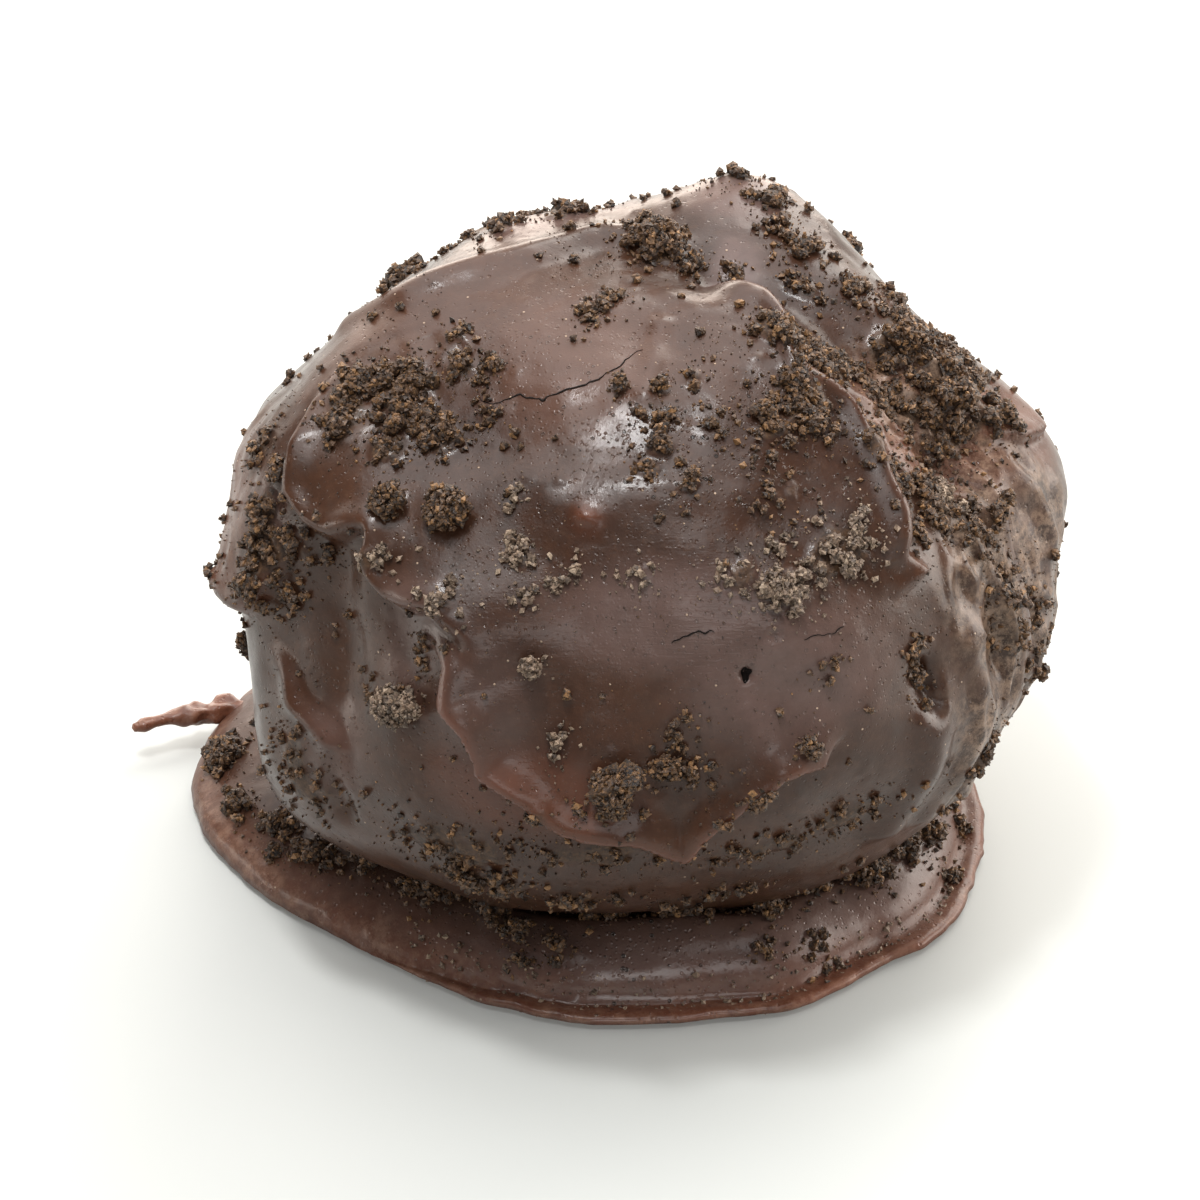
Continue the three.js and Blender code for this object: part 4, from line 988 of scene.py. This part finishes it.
def add_single_crumbs(pile, rng):
    """Single crumbs strewn everywhere, more of them low down and at the sides than on the smooth front."""
    u = unit_vectors(3 * SINGLE_CRUMBS, rng)
    longitude, latitude = angles_of(u)
    front_longitude, front_latitude, width, height = SMOOTH_FRONT
    smooth_front = bell(longitude - front_longitude, width) * bell(latitude - front_latitude, height)
    left_out = SINGLE_LEFT_OUT[0] + SINGLE_LEFT_OUT[1] * smooth_front
    u = u[(latitude > SINGLE_LOWEST) & (rng.random(len(u)) > left_out)][:SINGLE_CRUMBS]
    sizes = rng.uniform(*SINGLE_SIZES, len(u)) * rng.uniform(*SINGLE_SHRINK, len(u))
    pile.add_crumbs(ball_points(u, CRUMB_LIFT * sizes), u, sizes, rng)


def crumb_piles(amount, seed):
    """All crumbs of the ball and the foot, sorted into piles of dark and pale crumbs."""
    rng = np.random.default_rng(seed)
    piles = {DARK: CrumbPile(), PALE: CrumbPile()}
    add_ball_patches(piles, amount, rng)
    add_foot_patches(piles[DARK], amount, rng)
    add_skirt_grains(piles[PALE], amount, rng)
    add_single_crumbs(piles[DARK], rng)
    return piles


# ---------------------------------------------------------------- meshes, nodes and finishes

def linear_colour(hex_code):
    """Linear red, green, blue and alpha from an sRGB hex code."""
    parts = [int(hex_code[i:i + 2], 16) / 255 for i in (1, 3, 5)]
    return [c / 12.92 if c <= 0.04045 else ((c + 0.055) / 1.055) ** 2.4 for c in parts] + [1.0]


def add_piece(name, points, faces, material, attributes=None, flat=False):
    """A mesh object at the origin from points in millimetres and arrays of faces, riding on the body."""
    faces = faces if isinstance(faces, list) else [faces]
    mesh = bpy.data.meshes.new(name)
    mesh.vertices.add(len(points))
    mesh.vertices.foreach_set("co", (np.asarray(points) * MM).astype(np.float32).ravel())
    corners = np.concatenate([f.ravel() for f in faces])
    sizes = np.concatenate([np.full(len(f), f.shape[1]) for f in faces])
    mesh.loops.add(len(corners))
    mesh.loops.foreach_set("vertex_index", corners.astype(np.int32))
    mesh.polygons.add(len(sizes))
    mesh.polygons.foreach_set("loop_start", (np.cumsum(sizes) - sizes).astype(np.int32))
    mesh.update(calc_edges=True)
    mesh.validate()
    mesh.polygons.foreach_set("use_smooth", np.full(len(sizes), not flat))
    for key, values in (attributes or {}).items():
        mesh.attributes.new(key, "FLOAT", "POINT").data.foreach_set("value", values.astype(np.float32))
    mesh.materials.append(material)
    piece = bpy.data.objects.new(name, mesh)
    bpy.context.scene.collection.objects.link(piece)
    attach(piece, BODY)
    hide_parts(NODE)


def add_node(tree, kind, inputs, output=0, **settings):
    """Adds a shader node with its settings, and returns one of its outputs.

    Each input, by name or number, takes a link from another output, a value, or a colour as a hex code.
    """
    node = tree.nodes.new("ShaderNode" + kind)
    for key, value in settings.items():
        setattr(node, key, value)
    for key, value in inputs.items():
        if isinstance(value, bpy.types.NodeSocket):
            tree.links.new(value, node.inputs[key])
        else:
            node.inputs[key].default_value = linear_colour(value) if isinstance(value, str) else value
    return node.outputs[output] if node.outputs else None


def new_material(name):
    """An empty node material, and the function that adds nodes to it."""
    material = bpy.data.materials.new(name)
    material.use_nodes = True
    material.node_tree.nodes.clear()
    return material, functools.partial(add_node, material.node_tree)


def millimetres(node):
    """Object coordinates in millimetres."""
    return node("Mapping", {"Vector": node("TexCoord", {}, "Object"), "Scale": (1 / MM,) * 3})


def discs(node, place, scale, near, far, channel, least):
    """Soft discs round the middles of some cells of a Voronoi pattern, 1 inside and 0 outside."""
    shade = node("TexVoronoi", {"Vector": place, "Scale": scale}, "Color")
    disc = node("MapRange", {0: shade.node.outputs["Distance"], 1: near, 2: far, 3: 1.0, 4: 0.0})
    chosen = node("SeparateColor", {0: shade}, channel)
    chosen = node("MapRange", {0: chosen, 1: least, 2: least + DISC_CHOICE})
    return node("Math", {0: disc, 1: chosen}, operation="MULTIPLY")


def painted(node, colour, layers):
    """A colour under others: where each shows, the range of that value, its strength there, its colour."""
    for share, low, high, most, above in layers:
        share = node("MapRange", {0: share, 1: low, 2: high, 4: most})
        colour = node("Mix", {0: share, 6: colour, 7: above}, 2, data_type="RGBA")
    return colour


def dark_chocolate_coating(look):
    """Set dark chocolate, dipped by hand: a broad soft gloss under a thin clear one, and no two places alike.

    It is mottled in patches of 1 to 6 mm, with grain finer than half a millimetre, bubbles, pinprick pits and
    pale specks; the bubbles' rings are painted dark as shade. It turns reddish where it is thin, and dry
    where it is rough. A milky mauve bloom on the upper faces is partly painted top light, and a grey painted
    sheen stands in for reflections of the lamps.
    """
    material, node = new_material("dark_chocolate_coating")
    place = millimetres(node)
    cloud = {name: node("TexNoise", {"Vector": place, "Scale": scale, "Detail": detail, "Roughness": rough})
             for name, scale, detail, rough in COATING_CLOUDS}
    area = {name: node("Attribute", {}, "Fac", attribute_name=name) for name in COATING_ATTRIBUTES}
    disc = {name: discs(node, place, *row) for name, *row in COATING_DISCS}
    for name in ("bubble", "ring", "hole"):
        disc[name] = node("Math", {0: disc[name], 1: area["bubbles"]}, operation="MULTIPLY")
    dusty = node("MapRange", {0: area["rough"], 1: 0.1, 2: 0.9, 4: 0.6})
    patchy = {}
    for name, value, by, low, high, least, most in (("painted_sheen", area["painted_sheen"], "mottle", 0.3, 0.7, 1.0, 0.6),
                                                    ("thin", area["thin"], "mottle", 0.25, 0.6, 0.3, 1.0),
                                                    ("dust", dusty, "stain", 0.40, 0.58, 0.3, 1.0)):
        share = node("MapRange", {0: cloud[by], 1: low, 2: high, 3: least, 4: most})
        patchy[name] = node("Math", {0: value, 1: share}, operation="MULTIPLY")
    crumbs = painted(node, "#170e09", [(cloud["crumb"], 0.38, 0.68, 1, "#5f452f")])
    dusted = painted(node, "#30221a", [(cloud["dusted"], 0.42, 0.62, 1, "#a58b76")])
    colour = painted(node, tuple(look.chocolate), [
        (cloud["broad"], 0.35, 0.65, 1, tuple(look.chocolate_too)),
        (cloud["mottle"], 0.35, 0.75, 0.6, "#24150b"),
        (cloud["grainy"], 0.50, 0.75, 0.4, "#5a3d2b"),
        (cloud["stain"], 0.56, 0.72, 0.35, "#453c38"),
        # The bloom lightens the upper faces, partly as painted top light.
        (area["bloom_and_top_light"], 0, 1, 0.5, "#66483b"),
        # Painted sheen: grey where the coat would mirror the lamps.
        (patchy["painted_sheen"], 0, 1, 1, "#64504a"),
        (patchy["thin"], 0, 1, 1, THIN_COATING_COLOUR),
        (disc["speck"], 0, 1, 0.8, "#b99f88"),
        # Painted shade: the bubbles' rings are darkened in colour.
        (disc["ring"], 0, 1, 0.75, "#140b07"),
        (area["caked"], 0.35, 0.8, 0.8, crumbs),
        (patchy["dust"], 0, 1, 1, dusted),
    ])
    gloss = node("MapRange", {0: cloud["mottle"], 1: 0.3, 2: 0.75, 3: look.roughness - 0.05,
                              4: look.roughness + 0.12})
    for name, weight in (("rough", 0.10), ("caked", 0.3), ("matt", 0.35)):
        gloss = node("Math", {0: area[name], 1: weight, 2: gloss}, operation="MULTIPLY_ADD")
    brush_place = node("Mapping", {"Vector": place, "Rotation": (0.0, 0.6, 0.3), "Scale": (0.7, 7.0, 7.0)})
    streaks = node("TexNoise", {"Vector": brush_place, "Scale": 1.0, "Detail": 3.0, "Roughness": 0.5})
    streaks = node("Math", {0: streaks, 1: area["brushed"]}, operation="MULTIPLY")
    height = 0.0
    for part, weight in ((cloud["fine"], 0.3), (disc["pit"], -1.2), (disc["small_pit"], -0.5),
                         (disc["speck"], 1.5), (cloud["grainy"], 0.6), (disc["bubble"], 1.3),
                         (disc["ring"], 1.4), (disc["hole"], -3.0), (streaks, 1.0)):
        height = node("Math", {0: part, 1: weight, 2: height}, operation="MULTIPLY_ADD")
    bump = node("Bump", {"Height": height, "Distance": BUMP_HEIGHT * MM, "Strength": 1.0})
    glaze = node("Math", {0: area["glaze"], 1: FOOT_GLAZE, 2: COATING_GLAZE}, operation="MULTIPLY_ADD")
    shader = node("BsdfPrincipled", {
        "Base Color": colour, "Roughness": gloss, "IOR": 1.31, "Coat Weight": glaze, "Coat Roughness": 0.1,
        "Coat IOR": 1.5, "Normal": bump, "Coat Normal": bump})
    node("OutputMaterial", {"Surface": shader})
    return material


def cookie_crumb(name, dark, middle, light):
    """Crushed cookie: matt and porous, each grain its own shade, with golden tips where sugar caught."""
    material, node = new_material(name)
    fine = node("TexNoise", {"Vector": millimetres(node), "Scale": 5.0, "Detail": 5.0, "Roughness": 0.7})
    tone = node("Attribute", {}, "Fac", attribute_name="tone")
    colour = painted(node, dark, [
        (tone, 0.0, 0.8, 1, middle), (tone, 0.85, 1.0, 0.5, light),
        (fine, 0.50, 0.72, 0.55, light), (fine, 0.48, 0.34, 0.7, dark)])
    bump = node("Bump", {"Height": fine, "Distance": CRUMB_BUMP_HEIGHT * MM, "Strength": 1.0})
    shader = node("BsdfPrincipled", {"Base Color": colour, "Roughness": 0.5, "IOR": 1.5, "Normal": bump})
    node("OutputMaterial", {"Surface": shader})
    return material


# ---------------------------------------------------------------- what a user may change

class TruffleForm(bpy.types.PropertyGroup):
    """Amounts of crumbs and the fineness of the truffle's meshes."""

    ball_divisions: IntProperty(
        name="Ball divisions", description="Grid steps along each side of the ball's six patches",
        default=128, min=16, max=129)
    foot_columns: IntProperty(
        name="Foot columns", description="Grid steps round the foot's rim", default=960, min=60, max=1400)
    crumb_amount: FloatProperty(
        name="Loose crumbs", description="How many single grains lie round each patch of crumbs",
        default=1.0, min=0.0, max=3.0)
    dust_count: IntProperty(
        name="Dust grains", description="Number of the finest grains on the coat",
        default=12000, min=0, max=24000)
    seed: IntProperty(name="Seed", description="Start of the random draws", default=7, min=0)


class TruffleLook(bpy.types.PropertyGroup):
    """Colours and gloss of the chocolate and the crumbs, and strength of the light."""

    chocolate: FloatVectorProperty(
        name="Chocolate", description="Colour of the set coat", subtype="COLOR", size=4,
        default=linear_colour(COATING_COLOUR), min=0.0, max=1.0)
    chocolate_too: FloatVectorProperty(
        name="Second chocolate", description="Colour that the coat turns to in broad patches",
        subtype="COLOR", size=4, default=linear_colour(COATING_COLOUR_TOO), min=0.0, max=1.0)
    dark_cookie: FloatVectorProperty(
        name="Dark cookie", description="Colour of the dark crumbs", subtype="COLOR", size=4,
        default=linear_colour("#523a27"), min=0.0, max=1.0)
    pale_cookie: FloatVectorProperty(
        name="Pale cookie", description="Colour of the pale crumbs", subtype="COLOR", size=4,
        default=linear_colour("#7d6755"), min=0.0, max=1.0)
    roughness: FloatProperty(
        name="Coat roughness", description="Roughness of the smooth chocolate",
        default=0.34, min=0.06, max=0.8)
    light_strength: FloatProperty(
        name="Light strength", description="Factor on all lamps", default=1.0, min=0.0, max=10.0)


class TRUFFLE_OT_coat(bpy.types.Operator):
    """Makes the coated ball with its drapes, folds and pits"""

    bl_idname = "truffle.coat"
    bl_label = "Coated Ball"

    def execute(self, context):
        form = context.scene.truffle_form
        u, faces = squeezed_cube(form.ball_divisions, TOWARDS_CAMERA, BALL_SQUEEZE)
        radius, thin, rough = ball_surface(u)
        caked = caked_share(u)
        lumpy = CAKE_LEVEL + layered_noise(u * SURFACE_RADIUS, CAKE_LUMPS)
        points = BALL_CENTRE + u * (radius + CAKE_HEIGHT * caked * lumpy)[:, None]
        points[:, 2] = np.maximum(points[:, 2], BALL_UNDERSIDE)
        longitude, latitude, width, redness = BLISTER
        away = 1 - u @ direction(longitude, latitude)
        thin = np.maximum(thin, area_share(u, RUSSET_AREAS))
        thin = np.maximum(thin, redness * np.exp(-away * (SURFACE_RADIUS / width) ** 2))
        finishes = {name: area_share(u, areas) for name, areas in FINISH_AREAS.items()}
        material = dark_chocolate_coating(context.scene.truffle_look)
        add_piece("coated_ball", points, faces, material,
                  {"thin": thin, "rough": rough / ROUGHEST, "caked": caked, **finishes})
        return {"FINISHED"}


class TRUFFLE_OT_cracks(bpy.types.Operator):
    """Makes the dark strips of painted shade in the cracks of the coat and in its pinhole"""

    bl_idname = "truffle.cracks"
    bl_label = "Cracks"

    def execute(self, context):
        shapes = [crack(line, width) for line, width in CRACKS] + [pinhole()]
        firsts = np.cumsum([0] + [len(points) for points, _ in shapes])
        points = np.vstack([points for points, _ in shapes])
        faces = np.vstack([faces + first for (_, faces), first in zip(shapes, firsts)])
        material, node = new_material("crack_shadow")
        # Painted shade: the strips and the lens are near black as the shade in the cracks and the pinhole.
        shader = node("BsdfPrincipled", {"Base Color": "#120a06", "Roughness": 0.8, "IOR": 1.3})
        node("OutputMaterial", {"Surface": shader})
        add_piece("painted_crack_shade", points, faces, material)
        return {"FINISHED"}


class TRUFFLE_OT_foot(bpy.types.Operator):
    """Makes the foot of chocolate that ran off the ball"""

    bl_idname = "truffle.foot"
    bl_label = "Foot"

    def execute(self, context):
        columns = context.scene.truffle_form.foot_columns
        longitude = 360 * np.arange(columns) / columns
        points, inset = foot_grid(longitude)
        rows = len(inset)

        def with_ends(values, end=0.0):
            return np.concatenate([[end], np.broadcast_to(values, (rows, columns)).ravel(), [end]])

        inset = with_ends(inset, MIDDLE_INSET)
        thin = bell(inset, RIM_DEPTH)
        front = with_ends(bell_round(longitude, SKIRT_WIDEST_AT / 2, SKIRT_GLOW))
        painted_sheen = FOOT_PAINTED_SHEEN * (FOOT_PAINTED_SHEEN_BACK + (1 - FOOT_PAINTED_SHEEN_BACK) * front)
        points = np.vstack([[[0, 0, 0]], points.reshape(-1, 3), [[0, 0, FOOT_HEIGHT]]])
        add_piece("chocolate_foot", points, ring_faces(rows, columns),
                  bpy.data.materials["dark_chocolate_coating"], {
                      # The rim's redness is stronger at the front, where it is partly painted light.
                      "thin": thin * (FOOT_REDNESS_AND_FRONT_LIGHT[0] + FOOT_REDNESS_AND_FRONT_LIGHT[1] * front),
                      # Painted sheen: grey on the lip where it would mirror the lamps, strongest in front.
                      "painted_sheen": painted_sheen * bell(inset - FOOT_PAINTED_SHEEN_AT, FOOT_PAINTED_SHEEN_WIDTH),
                      "rough": FOOT_DRYNESS * thin,
                      "glaze": with_ends(bell_round(longitude, 0, FOOT_GLAZE_REACH)),
                      "bubbles": with_ends(bell_round(longitude, LIP_BUBBLES_AT, LIP_BUBBLES_REACH)),
                      "matt": FOOT_MATTNESS * (1 - front)})
        return {"FINISHED"}


class TRUFFLE_OT_spike(bpy.types.Operator):
    """Makes the thin tail that the dipping fork left at the rim"""

    bl_idname = "truffle.spike"
    bl_label = "Fork Tail"

    def execute(self, context):
        points = np.vstack([[SPIKE_ROOT], spike_grid().reshape(-1, 3), [SPIKE_TIP]])
        add_piece("fork_tail", points, ring_faces(SPIKE_ROWS, SPIKE_SIDES),
                  bpy.data.materials["dark_chocolate_coating"],
                  {"thin": np.full(len(points), SPIKE_REDNESS), "rough": np.full(len(points), SPIKE_DRYNESS)})
        return {"FINISHED"}


class TRUFFLE_OT_crumbs(bpy.types.Operator):
    """Makes the dark and the pale cookie crumbs, and the dust between them"""

    bl_idname = "truffle.crumbs"
    bl_label = "Cookie Crumbs"

    def execute(self, context):
        form, look = context.scene.truffle_form, context.scene.truffle_look
        rng = np.random.default_rng(form.seed + 1)
        piles = crumb_piles(form.crumb_amount, form.seed)
        dark = cookie_crumb("dark_cookie_crumb", "#180e09", tuple(look.dark_cookie), "#ad8050")
        pale = cookie_crumb("pale_cookie_crumb", "#33271f", tuple(look.pale_cookie), "#c6b199")
        for kind, name, material in ((DARK, "dark_cookie", dark), (PALE, "pale_cookie", pale)):
            for layer, grains in piles[kind].parts.items():
                solid = icosahedron() if layer == "cores" else octahedron()
                points, triangles, tones = grain_mesh(grains, solid, rng, TONES[layer])
                add_piece(f"{name}_{layer}", points, triangles, material,
                          {"tone": tones}, flat=True)
        u = unit_vectors(form.dust_count, rng)
        clump = noise(u * SURFACE_RADIUS, DUST_CLUMPS, 61) + DUST_BY_CRUMBS * crumbed_share(u)
        u = u[(u[:, 2] > DUST_LOWEST) & (clump > DUST_LEAST)]
        sizes = rng.uniform(*DUST_SIZES, len(u))
        dust = [(ball_points(u, CRUMB_LIFT * sizes), sizes)]
        points, triangles, tones = grain_mesh(dust, octahedron(), rng, DUST_TONES)
        add_piece("cookie_dust", points, triangles, dark, {"tone": tones}, flat=True)
        return {"FINISHED"}


def add_floor():
    """A matt white acrylic sheet, which takes soft shadows and faintly glows like a lit table."""
    half = FLOOR_SIZE / 2 * MM
    mesh = bpy.data.meshes.new("floor")
    corners = [(-half, -half, 0), (half, -half, 0), (half, half, 0), (-half, half, 0)]
    mesh.from_pydata(corners, [], [(0, 1, 2, 3)])
    material, node = new_material("white_acrylic_sheet")
    shader = node("BsdfPrincipled", {"Base Color": "#b4b6b3", "Roughness": 0.6, "IOR": 1.49,
                                     "Emission Color": "#fbfdf9", "Emission Strength": FLOOR_GLOW})
    node("OutputMaterial", {"Surface": shader})
    mesh.materials.append(material)
    floor = bpy.data.objects.new("floor", mesh)
    bpy.context.scene.collection.objects.link(floor)


def add_soft_box(strength, name, azimuth, elevation, distance, width, height, radiance, colour):
    """A lamp with an even rectangular face, turned to the ball's middle."""
    lamp = bpy.data.lights.new(name, "AREA")
    lamp.shape = "RECTANGLE"
    lamp.size, lamp.size_y = width * MM, height * MM
    lamp.energy = strength * radiance * math.pi * width * height * MM * MM
    lamp.color = linear_colour(colour)[:3]
    box = bpy.data.objects.new(name, lamp)
    way = Vector(direction(azimuth, elevation))
    box.location = Vector((0, 0, BALL_CENTRE[2] * MM)) + way * distance * MM
    box.rotation_euler = way.to_track_quat("Z", "Y").to_euler()
    bpy.context.scene.collection.objects.link(box)


def add_camera():
    """A camera on the front side, looking down on its aim."""
    camera_data = bpy.data.cameras.new("camera")
    camera_data.sensor_width = SENSOR_WIDTH
    camera_data.lens = SENSOR_WIDTH * CAMERA_DISTANCE / VIEW_WIDTH
    camera_data.clip_start, camera_data.clip_end = CLIPPING
    camera = bpy.data.objects.new("camera", camera_data)
    camera.location = (CAMERA_AIM + TOWARDS_CAMERA * CAMERA_DISTANCE) * MM
    camera.rotation_euler = (math.pi / 2 - CAMERA_ELEVATION, 0, 0)
    bpy.context.scene.collection.objects.link(camera)
    bpy.context.scene.camera = camera


class TRUFFLE_OT_stage(bpy.types.Operator):
    """Makes the pale floor, the soft boxes and the camera"""

    bl_idname = "truffle.stage"
    bl_label = "Stage"

    def execute(self, context):
        scene = context.scene
        strength = scene.truffle_look.light_strength
        add_floor()
        for row in SOFT_BOXES:
            add_soft_box(strength, *row)
        world = bpy.data.worlds.new("studio")
        world.use_nodes = True
        background = next(n for n in world.node_tree.nodes if n.type == "BACKGROUND")
        background.inputs["Color"].default_value = linear_colour("#f4f5f7")
        background.inputs["Strength"].default_value = WORLD_RADIANCE * strength
        scene.world = world
        add_camera()
        scene.view_settings.view_transform = "Standard"
        return {"FINISHED"}


class TRUFFLE_PT_panel(bpy.types.Panel):
    """Lists the truffle's amounts, looks and operators"""

    bl_label = "Chocolate Truffle"
    bl_idname = "TRUFFLE_PT_panel"
    bl_space_type = "VIEW_3D"
    bl_region_type = "UI"
    bl_category = "Truffle"

    def draw(self, context):
        for group in (context.scene.truffle_form, context.scene.truffle_look):
            for key in group.__annotations__:
                self.layout.prop(group, key)
        for operator in OPERATORS:
            self.layout.operator(operator.bl_idname)


OPERATORS = (TRUFFLE_OT_coat, TRUFFLE_OT_cracks, TRUFFLE_OT_foot, TRUFFLE_OT_spike, TRUFFLE_OT_crumbs,
             TRUFFLE_OT_stage)
CLASSES = (TruffleForm, TruffleLook) + OPERATORS + (TRUFFLE_PT_panel,)


def register():
    for cls in CLASSES:
        bpy.utils.register_class(cls)
    bpy.types.Scene.truffle_form = PointerProperty(type=TruffleForm)
    bpy.types.Scene.truffle_look = PointerProperty(type=TruffleLook)


def unregister():
    del bpy.types.Scene.truffle_look
    del bpy.types.Scene.truffle_form
    for cls in reversed(CLASSES):
        bpy.utils.unregister_class(cls)


def main():
    register()
    bpy.ops.truffle.coat()
    bpy.ops.truffle.cracks()
    bpy.ops.truffle.foot()
    bpy.ops.truffle.spike()
    bpy.ops.truffle.crumbs()
    bpy.ops.truffle.stage()


if __name__ == "__main__":
    main()
